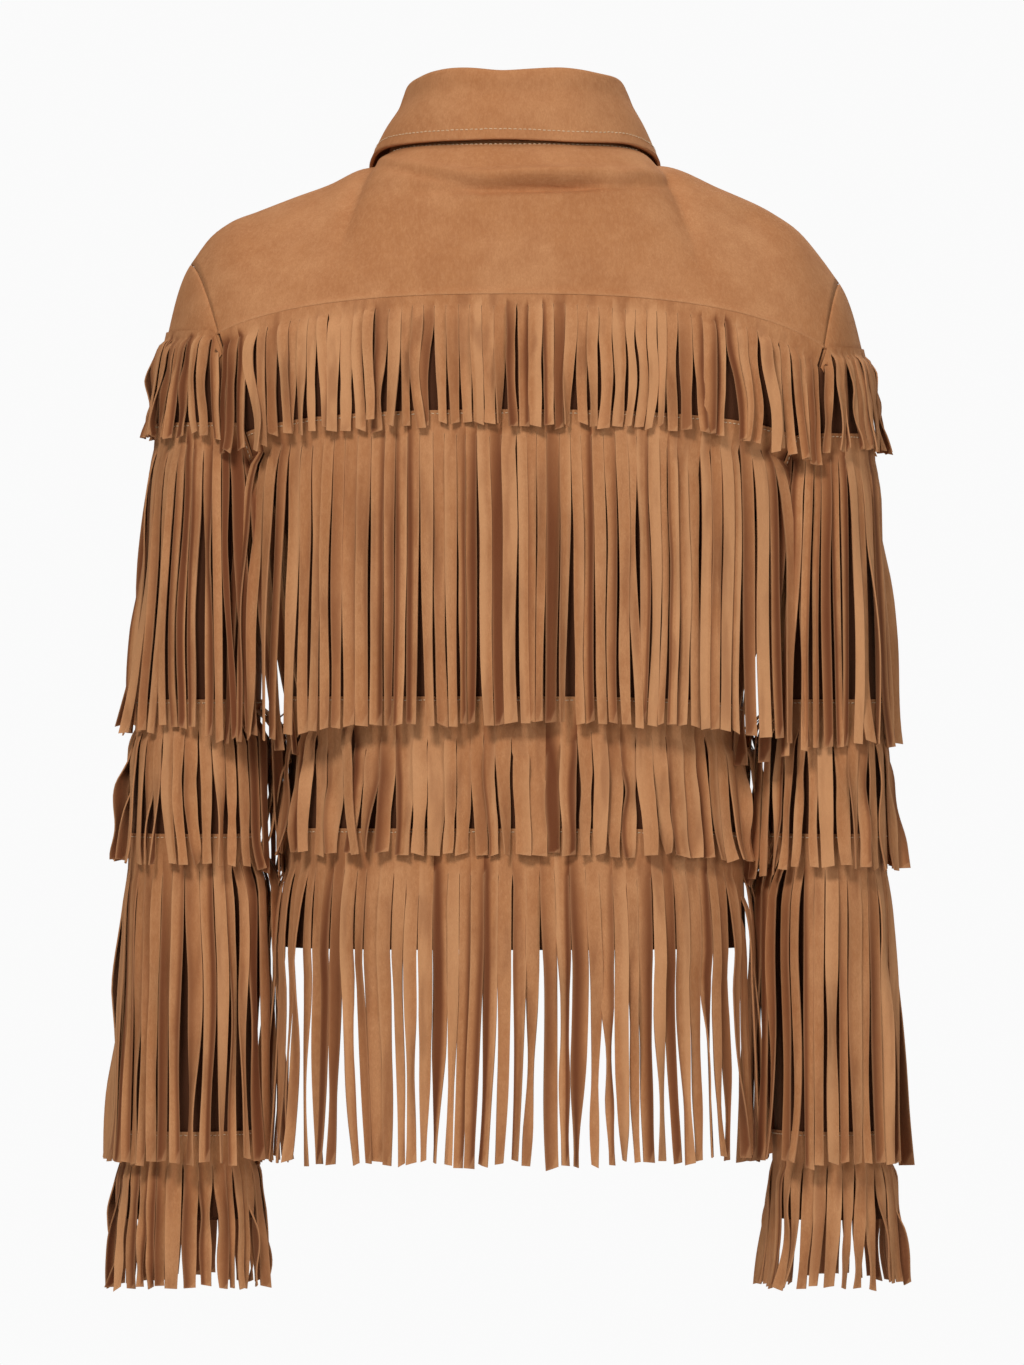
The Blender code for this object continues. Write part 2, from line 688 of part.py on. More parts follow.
def fringe_band(surface, inside, edges, seams, cuts):
    """Inner and outer points of a band from the seam line (row 0) down to the cut line (row 1)."""
    downs = np.stack([find_down(surface, edges, line) for line in (seams, cuts)])
    lying = surface(edges, downs)
    face = outward_normals(surface, edges, downs, inside)
    return lying + face * LIE, lying + face * (LIE + STRIP), face


def band_faces(edge_count, first, ring):
    """The band's faces, each as four (layer, row, edge) keys; the cut line is open where a strip starts."""
    faces = []
    for a in range(edge_count if ring else edge_count - 1):
        b = (a + 1) % edge_count
        for layer in ("in", "out"):
            faces.append([(layer, 0, a), (layer, 0, b), (layer, 1, b), (layer, 1, a)])
        faces.append([("in", 0, a), ("in", 0, b), ("out", 0, b), ("out", 0, a)])
        between_strips = a < first or (a - first) % 2 == 1
        if between_strips:
            faces.append([("in", 1, a), ("in", 1, b), ("out", 1, b), ("out", 1, a)])
    if not ring:
        for end in (0, edge_count - 1):
            faces.append([("in", 0, end), ("in", 1, end), ("out", 1, end), ("out", 0, end)])
    return faces


def strip_sections(samples, root_left, root_right, out, tip, lift):
    """Sections down a strip, each its four corners in order round it."""
    root = (root_left + root_right) / 2
    out = out * [1, 1, 0]
    out = out / np.linalg.norm(out)
    span = (root_right - root_left) * [1, 1, 0]
    half_width = np.linalg.norm(span) / 2
    sideways = np.array([-out[1], out[0], 0.0]) * np.sign(out[0] * span[1] - out[1] * span[0])
    long = root[2] - tip
    sections = []
    for share in STRIP_SECTIONS:
        low = root[2] - long * (share + CLOTH_BELOW)
        high = root[2] - long * max(share - CLOTH_ABOVE, CLOTH_START)
        cloth = reach_out(samples, root, out, half_width, low, high)
        lifted = lift * share**LIFT_POWER
        centre = root + out * max(lifted, cloth + LIE + lifted)
        centre[2] = root[2] - long * share
        across = sideways * half_width * (1 - (1 - TIP_TAPER) * share)
        through_wall = out * STRIP
        left, right = centre - across, centre + across
        sections.append([left, right, right + through_wall, left + through_wall])
    return sections


def make_fringe(name, surface, inside, samples, edges, heights, lift, ring):
    """A comb: a band between the seam and the cut line, and a strip under each pair of edges.

    Edges are places along the band, two for each strip and one more at each end of an open band.
    Heights are those of the seam, the cut line and the tips at each edge.
    """
    seams, cuts, tips = heights
    first = 0 if ring else 1
    inner, outer, face = fringe_band(surface, inside, edges, seams, cuts)
    vertices = [*inner[0], *inner[1], *outer[0], *outer[1]]
    count = len(edges)
    starts = {"in": 0, "out": 2 * count}
    faces = []
    for keys in band_faces(count, first, ring):
        faces.append(tuple(starts[layer] + row * count + edge for layer, row, edge in keys))
    for strip, left in enumerate(range(first, count - 1, 2)):
        right = left + 1
        tip = (tips[left] + tips[right]) / 2 + TIP_UNEVEN * math.sin(TIP_WAVE * strip)
        out = face[1, left] + face[1, right]
        sections = strip_sections(samples, inner[1, left], inner[1, right], out, tip, lift)
        above = [count + left, count + right, 3 * count + right, 3 * count + left]
        for corners in sections:
            below = [len(vertices) + corner for corner in range(4)]
            vertices.extend(corners)
            for corner in range(4):
                following = (corner + 1) % 4
                faces.append((above[corner], above[following], below[following], below[corner]))
            above = below
        faces.append(tuple(above))
    return new_object(name, vertices, faces, SUEDE_RAW, SUEDE_ROUGHNESS)


def strip_edges(start, end, strips, ring):
    """Places of the strips' two edges along a band, with a margin at each end of an open band."""
    if ring:
        pitch = (end - start) / strips
        starts = start + pitch * (np.arange(strips) + (1 - STRIP_FILL) / 2)
        return np.stack([starts, starts + pitch * STRIP_FILL], axis=-1).ravel()
    pitch = (end - start) / (strips + (1 - STRIP_FILL))
    starts = start + pitch * (np.arange(strips) + 1 - STRIP_FILL)
    edges = np.stack([starts, starts + pitch * STRIP_FILL], axis=-1).ravel()
    return np.concatenate([[start], edges, [end]])


def make_back_fringe():
    """The four fringes of the body: two between the armholes and two between the side seams."""
    downs = np.linspace(BACK_CLOTH_TOP, 3, CLOTH_ROWS)
    across, down = rows_and_columns(downs, np.linspace(-1, 1, CLOTH_COLUMNS))
    samples = back(across, down).reshape(-1, 3)
    for number, row in enumerate(BACK_FRINGE, start=1):
        seam, seam_left, seam_right, tip, tip_left, tip_right, furthest, strips, band, lift = row
        edges = strip_edges(-furthest, furthest, strips, False)
        share = edges**2
        seams = seam + (by_side(edges, seam_left, seam_right) - seam) * share
        tips = tip + (by_side(edges, tip_left, tip_right) - tip) * share
        name = f"fringe_back_{number}"
        heights = (seams, seams - band, tips)
        make_fringe(name, back, body_inside, samples, edges, heights, lift, False)


def make_sleeve_fringe():
    """The five fringes of each sleeve: two over the sleeve head and three whole rings."""
    downs = np.linspace(SLEEVE_CLOTH_TOP, 2, CLOTH_ROWS)
    around, down = rows_and_columns(downs, np.linspace(0, 1, CLOTH_COLUMNS, endpoint=False))
    for side, word in ((-1, "left"), (1, "right")):
        shape = sleeve_shape(side)
        samples = shape(around, down).reshape(-1, 3)
        for number, row in enumerate(SLEEVE_FRINGE[side], start=1):
            seam, tip, start, end, strips, band, lift = row
            ring = end - start == 1.0
            edges = strip_edges(start, end, strips, ring)
            heights = [np.full_like(edges, height) for height in (seam, seam - band, tip)]
            name = f"fringe_sleeve_{word}_{number}"
            make_fringe(name, shape, sleeve_inside(side), samples, edges, heights, lift, ring)


def main():
    for old in list(bpy.data.objects):
        bpy.data.objects.remove(old, do_unlink=True)
    collection = bpy.data.collections.new(OBJECT_NAME)
    bpy.context.scene.collection.children.link(collection)
    make_back()
    make_fronts()
    make_sleeves()
    make_collar()
    make_placket()
    make_back_fringe()
    make_sleeve_fringe()


main()
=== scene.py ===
# A fringed suede jacket in its worn form with no wearer, seen from the back.
# Tables and sizes are in millimetres. +Z is up, the back faces -Y, side -1 is the left of the back view.
import math

import bpy
import numpy as np
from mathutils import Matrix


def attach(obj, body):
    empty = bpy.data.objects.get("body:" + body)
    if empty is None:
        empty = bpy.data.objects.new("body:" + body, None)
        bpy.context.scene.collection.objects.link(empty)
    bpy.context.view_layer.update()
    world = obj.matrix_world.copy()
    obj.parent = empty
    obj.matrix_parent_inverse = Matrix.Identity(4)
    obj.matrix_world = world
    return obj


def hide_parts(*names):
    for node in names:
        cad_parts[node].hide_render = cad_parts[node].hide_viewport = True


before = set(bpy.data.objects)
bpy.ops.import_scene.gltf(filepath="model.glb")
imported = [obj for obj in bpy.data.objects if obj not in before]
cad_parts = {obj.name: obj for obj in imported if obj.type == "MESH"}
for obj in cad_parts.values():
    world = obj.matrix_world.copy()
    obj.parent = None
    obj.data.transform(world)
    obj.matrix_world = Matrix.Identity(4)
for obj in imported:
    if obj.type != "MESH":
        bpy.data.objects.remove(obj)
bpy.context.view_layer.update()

mm = 0.001
rng = np.random.default_rng(41)


# Curves, rounded powers and humps

def hermite(t, start, leave, end, arrive):
    # A cubic from start to end, with its slopes at both.
    ends = (1 + 2 * t) * (1 - t) ** 2 * start + t**2 * (3 - 2 * t) * end
    return ends + t * (1 - t) ** 2 * leave + t**2 * (t - 1) * arrive


def cubicPath(knots, values, at):
    # Cubic pieces through values along their first axis; the slope at a knot is that of its neighbours.
    slopes = np.gradient(values, knots, axis=0)
    place = np.clip(np.searchsorted(knots, at, side="right") - 1, 0, len(knots) - 2)
    width = knots[place + 1] - knots[place]
    t = (at - knots[place]) / width
    shape = np.shape(t) + (1,) * (values.ndim - 1)
    t, width = np.reshape(t, shape), np.reshape(width, shape)
    return hermite(t, values[place], width * slopes[place], values[place + 1], width * slopes[place + 1])


def through(table, column, at):
    rows = np.array(table)
    return cubicPath(rows[:, 0], rows[:, column], at)


def rounded(value, power):
    return np.sign(value) * np.abs(value) ** power


def bySide(across, left, right):
    return np.where(across < 0, left, right)


def hump(*offsets):
    # A Gaussian of offsets that are already divided by their reach.
    return np.exp(-sum(offset**2 for offset in offsets))


# The jacket's body

body = {
    "neckHalfWidth": 86.0,
    "neckHalfDepth": 65.0,
    "neckMiddleY": 5.0,
    "neckBackZ": 13.0,
    "neckDrop": 71.0,
    "neckDropPower": 2.7,
    "neckShare": 0.5,
    "shoulderHalfWidth": 209.0,
    "yokeTurn": 62.0,
    "armholeTop": (-62.0, -74.0),
    "armholeBottom": (-238.0, -240.0),
    "armholeBackDepth": 74.0,
    "armholeFrontDepth": 64.0,
    "armholeForward": 16.0,
    "hem": -501.0,
    "roundness": 0.8,
    "wall": 2.0,
    # share of the way out, left height, right height
    "shoulder": [(0.00, 2.1, 2.1), (0.10, -0.5, 1.0), (0.25, -9.5, -6.5), (0.45, -18.5, -18.0),
                 (0.65, -28.0, -29.5), (0.80, -35.5, -42.5), (0.90, -45.0, -57.0), (1.00, -62.0, -74.0)],
    # share of the armhole's height, left half width, right half width
    "armholeWidth": [(0.00, 209.0, 209.0), (0.27, 189.0, 197.0), (0.50, 178.0, 184.0),
                     (0.78, 163.0, 166.0), (1.00, 151.0, 152.0)],
    # turn down the armhole, y, height and corner angle of the centre line
    "backMiddle": [(62.0, -97.0, -84.5, 58.0), (90.0, -105.0, -138.0, 66.0), (120.0, -108.0, -182.0, 76.0),
                   (150.0, -108.5, -215.0, 88.0), (180.0, -108.0, -239.0, 97.0)],
    "frontMiddle": [(62.0, 99.0, -125.0, 56.0), (90.0, 107.0, -160.0, 60.0), (120.0, 111.0, -192.0, 67.0),
                    (150.0, 112.0, -218.0, 76.0), (180.0, 112.0, -239.0, 83.0)],
    # height, side seam x and y, back y, front y
    "skirt": [(-501.0, 148.0, 20.0, -106.0, 108.0), (-440.0, 146.0, 20.0, -103.0, 106.0),
              (-380.0, 145.0, 20.0, -101.0, 105.0), (-300.0, 148.0, 18.0, -105.0, 110.0),
              (-239.0, 151.0, 16.0, -108.0, 112.0)],
}


def neckPoint(turn):
    # An ellipse seen from above; its height drops with a power of how far round to the front it is.
    share = (1 - np.cos(turn)) / 2
    x = body["neckHalfWidth"] * np.sin(turn)
    y = body["neckMiddleY"] - body["neckHalfDepth"] * np.cos(turn)
    z = body["neckBackZ"] - body["neckDrop"] * np.abs(share) ** body["neckDropPower"]
    return x, y, z


def topLine(across, front):
    # Along the neck ellipse for the inner half of the panel, then out along the shoulder's own curve.
    share = np.abs(across)
    turn = np.minimum(share / body["neckShare"], 1.0) * math.pi / 2
    turn = math.pi - turn if front else turn
    neckX, neckY, neckZ = neckPoint(turn)
    along = np.maximum(share - body["neckShare"], 0.0) / (1 - body["neckShare"])
    outX = body["neckHalfWidth"] + along * (body["shoulderHalfWidth"] - body["neckHalfWidth"])
    outZ = bySide(across, *[through(body["shoulder"], column, along) for column in (1, 2)])
    onNeck = share < body["neckShare"]
    x = np.where(onNeck, neckX, outX)
    y = np.where(onNeck, neckY, body["neckMiddleY"] * (1 - along))
    return np.sign(across) * x, y, np.where(onNeck, neckZ, outZ)


def sectionPoint(across, sideX, sideY, middleY, corner):
    # Part of a superellipse: powers of sine and cosine, scaled to pass the centre line and the side point.
    power = body["roundness"]
    angle = np.abs(across) * np.radians(corner)
    x = sideX * rounded(np.sin(angle), power) / rounded(np.sin(np.radians(corner)), power)
    end = rounded(np.cos(np.radians(corner)), power)
    deep = (middleY - sideY) / (1 - end)
    return np.sign(across) * x, sideY + deep * (rounded(np.cos(angle), power) - end)


def armholeRow(across, turn, front):
    # A section whose end lies on the armhole, which is an oval in side view.
    top = bySide(across, *body["armholeTop"])
    bottom = bySide(across, *body["armholeBottom"])
    share = (1 - np.cos(np.radians(turn))) / 2
    sideZ = top + (bottom - top) * share
    widths = bySide(across, *[through(body["armholeWidth"], column, share) for column in (1, 2)])
    depth = body["armholeFrontDepth"] if front else -body["armholeBackDepth"]
    sideY = depth * np.sin(np.radians(turn)) + body["armholeForward"] * share
    middle = body["frontMiddle"] if front else body["backMiddle"]
    x, y = sectionPoint(across, widths, sideY, through(middle, 1, turn), through(middle, 3, turn))
    middleZ = through(middle, 2, turn)
    return x, y, middleZ + (sideZ - middleZ) * across**2


def skirtRow(across, share, front):
    # A section between the armpit and the hem, whose sizes come from the skirt's table by height.
    middle = body["frontMiddle"] if front else body["backMiddle"]
    bottom = bySide(across, *body["armholeBottom"])
    start = middle[-1][2] + (bottom - middle[-1][2]) * across**2
    z = start + (body["hem"] - start) * share
    skirt = body["skirt"]
    depth = through(skirt, 4 if front else 3, z)
    x, y = sectionPoint(across, through(skirt, 1, z), through(skirt, 2, z), depth, middle[-1][3])
    return x, y, z


def bodyPlain(across, down, front):
    # Down 0 to 1: the top line blends to the first armhole row along a quarter of an ellipse.
    # Down 1 to 2: armhole rows. Down 2 to 3: skirt rows.
    across, down = np.broadcast_arrays(np.asarray(across, float), np.asarray(down, float))
    most = math.radians(body["yokeTurn"])
    backShare = np.sin(most * down) / math.sin(most)
    dropShare = (1 - np.cos(most * down)) / (1 - math.cos(most))
    high = np.array(topLine(across, front))
    low = np.array(armholeRow(across, np.full_like(down, body["yokeTurn"]), front))
    upper = high + (low - high) * np.array([(backShare + dropShare) / 2, backShare, dropShare])
    turn = body["yokeTurn"] + (180 - body["yokeTurn"]) * (down - 1)
    middle = np.array(armholeRow(across, turn, front))
    lower = np.array(skirtRow(across, down - 2, front))
    points = np.where(down < 1, upper, np.where(down < 2, middle, lower))
    return np.moveaxis(points, 0, -1)


def unit(vectors):
    return vectors / np.maximum(np.linalg.norm(vectors, axis=-1, keepdims=True), 1e-9)


def levelSide(out):
    # The level direction a quarter turn from outward directions.
    return np.stack([-out[..., 1], out[..., 0], 0 * out[..., 0]], axis=-1)


def slopesNormal(surface, across, down, inside):
    # The cross product of the surface's two slopes, turned away from a point inside the form.
    step = 0.004  # half of the span, in the surface's own parameters, over which a slope is taken
    along = surface(across + step, down) - surface(across - step, down)
    below = surface(across, down + step) - surface(across, down - step)
    found = unit(np.cross(along, below))
    here = surface(across, down)
    facing = np.sum(found * (here - inside(here)), axis=-1, keepdims=True)
    return found * np.where(facing < 0, -1.0, 1.0)


def bodyInside(points):
    # The point on the middle plane, half as far out and somewhat lower.
    return points * [0.5, 0.0, 1.0] - [0.0, 0.0, 60.0]


# Soft folds, each a long low hump or trough: middle x and z, half length, half width, tilt, height
backFolds = [
    (18.0, -8.0, 58.0, 4.6, 1.0, 8.6),
    (20.0, -15.5, 50.0, 2.6, 1.6, -7.0),
    (-50.0, -3.0, 32.0, 4.0, -14.0, 3.6),
    (-50.0, -9.5, 30.0, 2.6, -14.0, -2.4),
    (64.0, -12.0, 18.0, 4.2, 24.0, 1.8),
    (-64.0, 3.0, 26.0, 4.0, -14.0, -2.0),
    (138.0, -23.0, 20.0, 6.0, -14.0, 2.0),
    (146.0, -34.0, 18.0, 6.0, -20.0, -1.2),
    (-150.0, -40.0, 26.0, 9.0, 24.0, 1.3),
    (-96.0, -52.0, 45.0, 16.0, 12.0, -1.0),
    (88.0, -58.0, 50.0, 15.0, -16.0, -1.0),
    (-20.0, -62.0, 60.0, 12.0, 6.0, 0.7),
    (172.0, -62.0, 12.0, 26.0, 8.0, 1.0),
    (-176.0, -70.0, 11.0, 28.0, -8.0, 0.9),
    (-70.0, -300.0, 60.0, 16.0, 12.0, 0.8),
    (60.0, -320.0, 70.0, 18.0, -9.0, 0.9),
    (-20.0, -480.0, 90.0, 9.0, 2.0, 0.5),
]
frontFolds = [
    (-95.0, -105.0, 46.0, 9.0, 34.0, 1.6),
    (98.0, -108.0, 44.0, 9.0, -34.0, 1.6),
    (-112.0, -190.0, 42.0, 11.0, 42.0, -1.6),
    (115.0, -196.0, 40.0, 11.0, -44.0, -1.6),
    (-60.0, -262.0, 52.0, 13.0, 18.0, 1.3),
    (72.0, -285.0, 58.0, 14.0, -14.0, 1.3),
    (-85.0, -372.0, 64.0, 12.0, 8.0, -1.5),
    (78.0, -392.0, 60.0, 12.0, -7.0, -1.4),
    (-48.0, -452.0, 16.0, 60.0, 4.0, 1.3),
    (104.0, -440.0, 14.0, 62.0, -5.0, 1.4),
    (-120.0, -448.0, 12.0, 55.0, 3.0, 1.2),
    (40.0, -150.0, 16.0, 50.0, 6.0, 0.9),
]


def foldHeight(points, folds):
    # The sum of turned Gaussian humps over x and z.
    total = np.zeros(points.shape[:-1])
    for x, z, halfLength, halfWidth, tilt, height in folds:
        c, s = math.cos(math.radians(tilt)), math.sin(math.radians(tilt))
        u = (points[..., 0] - x) * c + (points[..., 2] - z) * s
        v = -(points[..., 0] - x) * s + (points[..., 2] - z) * c
        total = total + height * hump(u / halfLength, v / halfWidth)
    return total


def bodySurface(front):
    folds = frontFolds if front else backFolds

    def plain(across, down):
        return bodyPlain(across, down, front)

    def folded(across, down):
        points = plain(across, down)
        lean = slopesNormal(plain, across, down, bodyInside)
        return points + lean * foldHeight(points, folds)[..., None]

    return plain, folded


backPlain, backSurface = bodySurface(False)
frontPlain, frontSurface = bodySurface(True)


# The sleeves

sleeves = {
    "topRing": -250.0,
    "cuff": -676.0,
    "roundness": 0.88,
    "wall": 2.0,
    # height, middle x, middle y, half width, half depth
    -1: [(-676.0, 211.0, 12.0, 43.0, 47.0), (-640.0, 210.5, 10.0, 43.0, 48.0),
         (-500.0, 208.0, 5.0, 42.0, 52.0), (-356.0, 203.5, 1.0, 39.5, 57.0),
         (-250.0, 197.0, 0.0, 36.5, 60.0)],
    1: [(-676.0, 205.0, 12.0, 37.0, 48.0), (-640.0, 204.5, 10.0, 37.0, 49.0),
        (-500.0, 202.5, 5.0, 36.5, 53.0), (-356.0, 200.5, 1.0, 36.0, 58.0),
        (-250.0, 197.5, 0.0, 35.0, 60.0)],
    # folds fade in over this much of the way down from the armhole
    "foldFade": 0.3,
    # height share, outward pull, downward pull, pull at the head's end
    "head": [(0.0, 12.0, 4.0, 14.0), (0.5, 46.0, 36.0, 90.0), (1.0, 57.0, 82.0, 170.0)],
    # turn down the armhole of the places round the sleeve: back and front
    "backTurns": [0.0, 9.0, 18.0, 27.0, 37.0, 49.0, 62.0, 80.0, 100.0, 120.0, 140.0, 160.0, 180.0],
    "frontTurns": [0.0, 16.0, 32.0, 47.0, 62.0, 80.0, 100.0, 120.0, 140.0, 160.0, 180.0],
    # folds: place round, place down, half length round, half width down, slant, height
    "folds": [(0.02, 0.42, 0.10, 0.10, 0.2, 1.2), (0.20, 0.55, 0.07, 0.07, -0.5, -1.2),
              (0.42, 0.70, 0.08, 0.09, 0.6, 1.2), (0.60, 1.42, 0.14, 0.05, 0.3, -1.6),
              (0.72, 1.36, 0.12, 0.05, -0.3, 1.5), (0.52, 1.50, 0.11, 0.05, 0.2, 1.3),
              (0.85, 0.60, 0.08, 0.09, 0.5, 1.3), (0.90, 1.60, 0.10, 0.06, -0.2, 1.0)],
}


def turnsToDowns(turns):
    turns = np.array(turns)
    most = body["yokeTurn"]
    return np.where(turns <= most, turns / most, 1 + (turns - most) / (180 - most))


def armholePoint(side, around):
    # The ends of the body's rows: down the back edge for the first half, up the front edge for the second.
    around = np.mod(around, 1.0)
    backDowns = turnsToDowns(sleeves["backTurns"])
    frontDowns = turnsToDowns(sleeves["frontTurns"])
    back = np.interp(around, np.linspace(0, 0.5, len(backDowns)), backDowns)
    front = np.interp(1 - around, np.linspace(0, 0.5, len(frontDowns)), frontDowns)
    onBack = (around <= 0.5)[..., None]
    return np.where(onBack, backPlain(float(side), back), frontPlain(float(side), front))


def sleeveRing(side, around, z):
    # A superellipse about the sleeve's middle line at a height.
    table = sleeves[side]
    power = sleeves["roundness"]
    x = through(table, 1, z) + through(table, 3, z) * rounded(np.cos(2 * math.pi * around), power)
    y = through(table, 2, z) - through(table, 4, z) * rounded(np.sin(2 * math.pi * around), power)
    return np.stack([side * x, y, z], axis=-1)


def sleevePlain(side, around, down):
    # Down 0 to 1: a cubic from the armhole, leaving outward and down, to the first ring.
    # Down 1 to 2: rings down to the cuff.
    around, down = np.broadcast_arrays(np.asarray(around, float), np.asarray(down, float))
    start = armholePoint(side, around)
    ring = sleeveRing(side, around, np.full_like(down, sleeves["topRing"]))
    high = (1 + np.cos(2 * math.pi * around)) / 2
    fall = through(sleeves["head"], 2, high)
    leave = np.stack([side * through(sleeves["head"], 1, high), 0 * fall, -fall], axis=-1)
    arrive = np.stack([0 * fall, 0 * fall, -through(sleeves["head"], 3, high)], axis=-1)
    t = down[..., None]
    z = sleeves["topRing"] + (sleeves["cuff"] - sleeves["topRing"]) * (down - 1)
    return np.where(t < 1, hermite(t, start, leave, ring, arrive), sleeveRing(side, around, z))


def sleeveInside(side):
    # Points on the sleeve's middle line, a little lower than the given ones.
    def inside(points):
        z = np.clip(points[..., 2] - 8.0, sleeves["cuff"], sleeves["topRing"])
        x = side * through(sleeves[side], 1, z)
        return np.stack([x, 0 * x, points[..., 2] - 12.0], axis=-1)

    return inside


def sleeveSurface(side):
    inside = sleeveInside(side)

    def plain(around, down):
        return sleevePlain(side, around, down)

    def folded(around, down):
        # The plain sleeve moved along its normal by slanted Gaussian humps, faded out at the armhole.
        points = plain(around, down)
        lean = slopesNormal(plain, around, down, inside)
        total = np.zeros(points.shape[:-1])
        for place, low, halfLength, halfWidth, slant, height in sleeves["folds"]:
            u = np.mod(around - place + 0.5, 1.0) - 0.5
            v = down - low - slant * u
            total = total + height * hump(u / halfLength, v / halfWidth)
        fade = np.clip(down / sleeves["foldFade"], 0, 1)
        return points + lean * (total * fade)[..., None]

    return plain, folded


# Meshes from grids

def linkObject(name, mesh, material):
    piece = bpy.data.objects.new(name, mesh)
    bpy.context.scene.collection.objects.link(piece)
    mesh.materials.append(material)
    return piece


def meshFromArrays(name, points, faces, material, marks=None):
    mesh = bpy.data.meshes.new(name)
    counts = np.concatenate([np.full(len(face), face.shape[1]) for face in faces])
    corners = np.concatenate([face.ravel() for face in faces]).astype(np.int32)
    mesh.vertices.add(len(points))
    mesh.vertices.foreach_set("co", (points * mm).astype(np.float32).ravel())
    mesh.loops.add(len(corners))
    mesh.loops.foreach_set("vertex_index", corners)
    mesh.polygons.add(len(counts))
    starts = np.concatenate([[0], np.cumsum(counts)[:-1]]).astype(np.int32)
    mesh.polygons.foreach_set("loop_start", starts)
    mesh.polygons.foreach_set("loop_total", counts.astype(np.int32))
    for key, values in (marks or {}).items():
        layer = mesh.attributes.new(key, "FLOAT", "POINT")
        layer.data.foreach_set("value", np.asarray(values, np.float32).ravel())
    mesh.update(calc_edges=True)
    mesh.validate()
    mesh.shade_smooth()
    return linkObject(name, mesh, material)


def gridFaces(rows, columns, closed):
    # Quads between neighbouring rows and columns, with the last column joined to the first if closed.
    last = columns if closed else columns - 1
    row, column = np.meshgrid(np.arange(rows - 1), np.arange(last), indexing="ij")
    a = row * columns + column
    b = row * columns + (column + 1) % columns
    return np.stack([a, b, b + columns, a + columns], axis=-1).reshape(-1, 4)


def outwardFaces(points, faces, outward):
    # Quads turned round if their first one faces against the outward directions.
    p = points[faces]
    facing = np.sum(np.cross(p[:, 1] - p[:, 0], p[:, 3] - p[:, 0]) * outward[faces[:, 0]], axis=-1)
    return faces if facing.sum() > 0 else faces[:, ::-1]


def outsideOut(points, quads):
    # All faces of a closed form turned round if the volume within its quads comes out negative.
    p = points[quads]
    volume = np.sum(np.cross(p[:, 0], p[:, 1]) * p[:, 2]) + np.sum(np.cross(p[:, 0], p[:, 2]) * p[:, 3])
    return quads if volume > 0 else quads[:, ::-1]


def tubeFaces(points, rows, columns, starts):
    # Quads round each closed tube of rings and a face over each of its ends, all turned outwards together.
    quads = gridFaces(rows, columns, True)
    ring = np.arange(columns)
    ends = np.stack([ring[::-1], ring + (rows - 1) * columns])
    if outsideOut(points, quads) is not quads:
        quads, ends = quads[:, ::-1], ends[:, ::-1]
    return [(part[None] + starts[:, None, None]).reshape(-1, part.shape[1]) for part in (quads, ends)]


def shellPiece(name, points, outward, material, wall, closed=False, marks=None):
    # An open grid with a wall of its own thickness, grown inward.
    rows, columns = points.shape[:2]
    flat = points.reshape(-1, 3)
    faces = outwardFaces(flat, gridFaces(rows, columns, closed), outward.reshape(-1, 3))
    piece = meshFromArrays(name, flat, [faces], material, marks)
    thick = piece.modifiers.new("wall", "SOLIDIFY")
    thick.thickness = wall * mm
    thick.offset = -1.0
    thick.use_even_offset = False
    thick.use_rim = True
    return piece


def gridPlaces(downs, acrosses):
    down, across = np.meshgrid(downs, acrosses, indexing="ij")
    return across, down


# Finishes

class Wire:
    # A shader socket that takes part in sums, so that an expression adds its Math nodes.
    def __init__(self, finish, socket):
        self.finish = finish
        self.socket = socket

    def maths(self, operation, first, second=None):
        values = {0: first} if second is None else {0: first, 1: second}
        return self.finish.make("ShaderNodeMath", 0, {"operation": operation}, values)

    def __add__(self, other):
        return self.maths("ADD", self, other)

    def __radd__(self, other):
        return self.maths("ADD", other, self)

    def __sub__(self, other):
        return self.maths("SUBTRACT", self, other)

    def __rsub__(self, other):
        return self.maths("SUBTRACT", other, self)

    def __mul__(self, other):
        return self.maths("MULTIPLY", self, other)

    def __rmul__(self, other):
        return self.maths("MULTIPLY", other, self)

    def __pow__(self, other):
        return self.maths("POWER", self, other)


class Finish:
    # One material: its tree, its shader, and one method that makes any node.
    def __init__(self, name):
        self.material = bpy.data.materials.new(name)
        self.material.use_nodes = True
        self.tree = self.material.node_tree
        self.shader = self.tree.nodes["Principled BSDF"]

    def make(self, kind, output, settings=None, sockets=None):
        node = self.tree.nodes.new(kind)
        for key, value in (settings or {}).items():
            setattr(node, key, value)
        for key, value in (sockets or {}).items():
            self.feed(node.inputs[key], value)
        return Wire(self, node.outputs[output])

    def feed(self, socket, value):
        if isinstance(value, Wire):
            self.tree.links.new(value.socket, socket)
        else:
            socket.default_value = value

    def noise(self, place, scale, detail=2.0, roughness=0.5):
        sockets = {"Vector": place, "Scale": scale, "Detail": detail, "Roughness": roughness}
        return self.make("ShaderNodeTexNoise", 0, {}, sockets)

    def spread(self, value, low, high):
        # From 0 at low to 1 at high, smoothly.
        settings = {"interpolation_type": "SMOOTHSTEP"}
        return self.make("ShaderNodeMapRange", 0, settings, {0: value, 1: low, 2: high, 3: 0.0, 4: 1.0})

    def blend(self, share, first, second, mode="MIX"):
        settings = {"data_type": "RGBA", "blend_type": mode}
        return self.make("ShaderNodeMix", 2, settings, {0: share, 6: first, 7: second})

    def mark(self, name):
        return self.make("ShaderNodeAttribute", 2, {"attribute_name": name})


def colour(red, green, blue):
    # A screen colour from 0 to 255 as the shader's own linear one.
    shares = np.array([red, green, blue]) / 255
    linear = np.where(shares <= 0.04045, shares / 12.92, ((shares + 0.055) / 1.055) ** 2.4)
    return (*[float(value) for value in linear], 1.0)


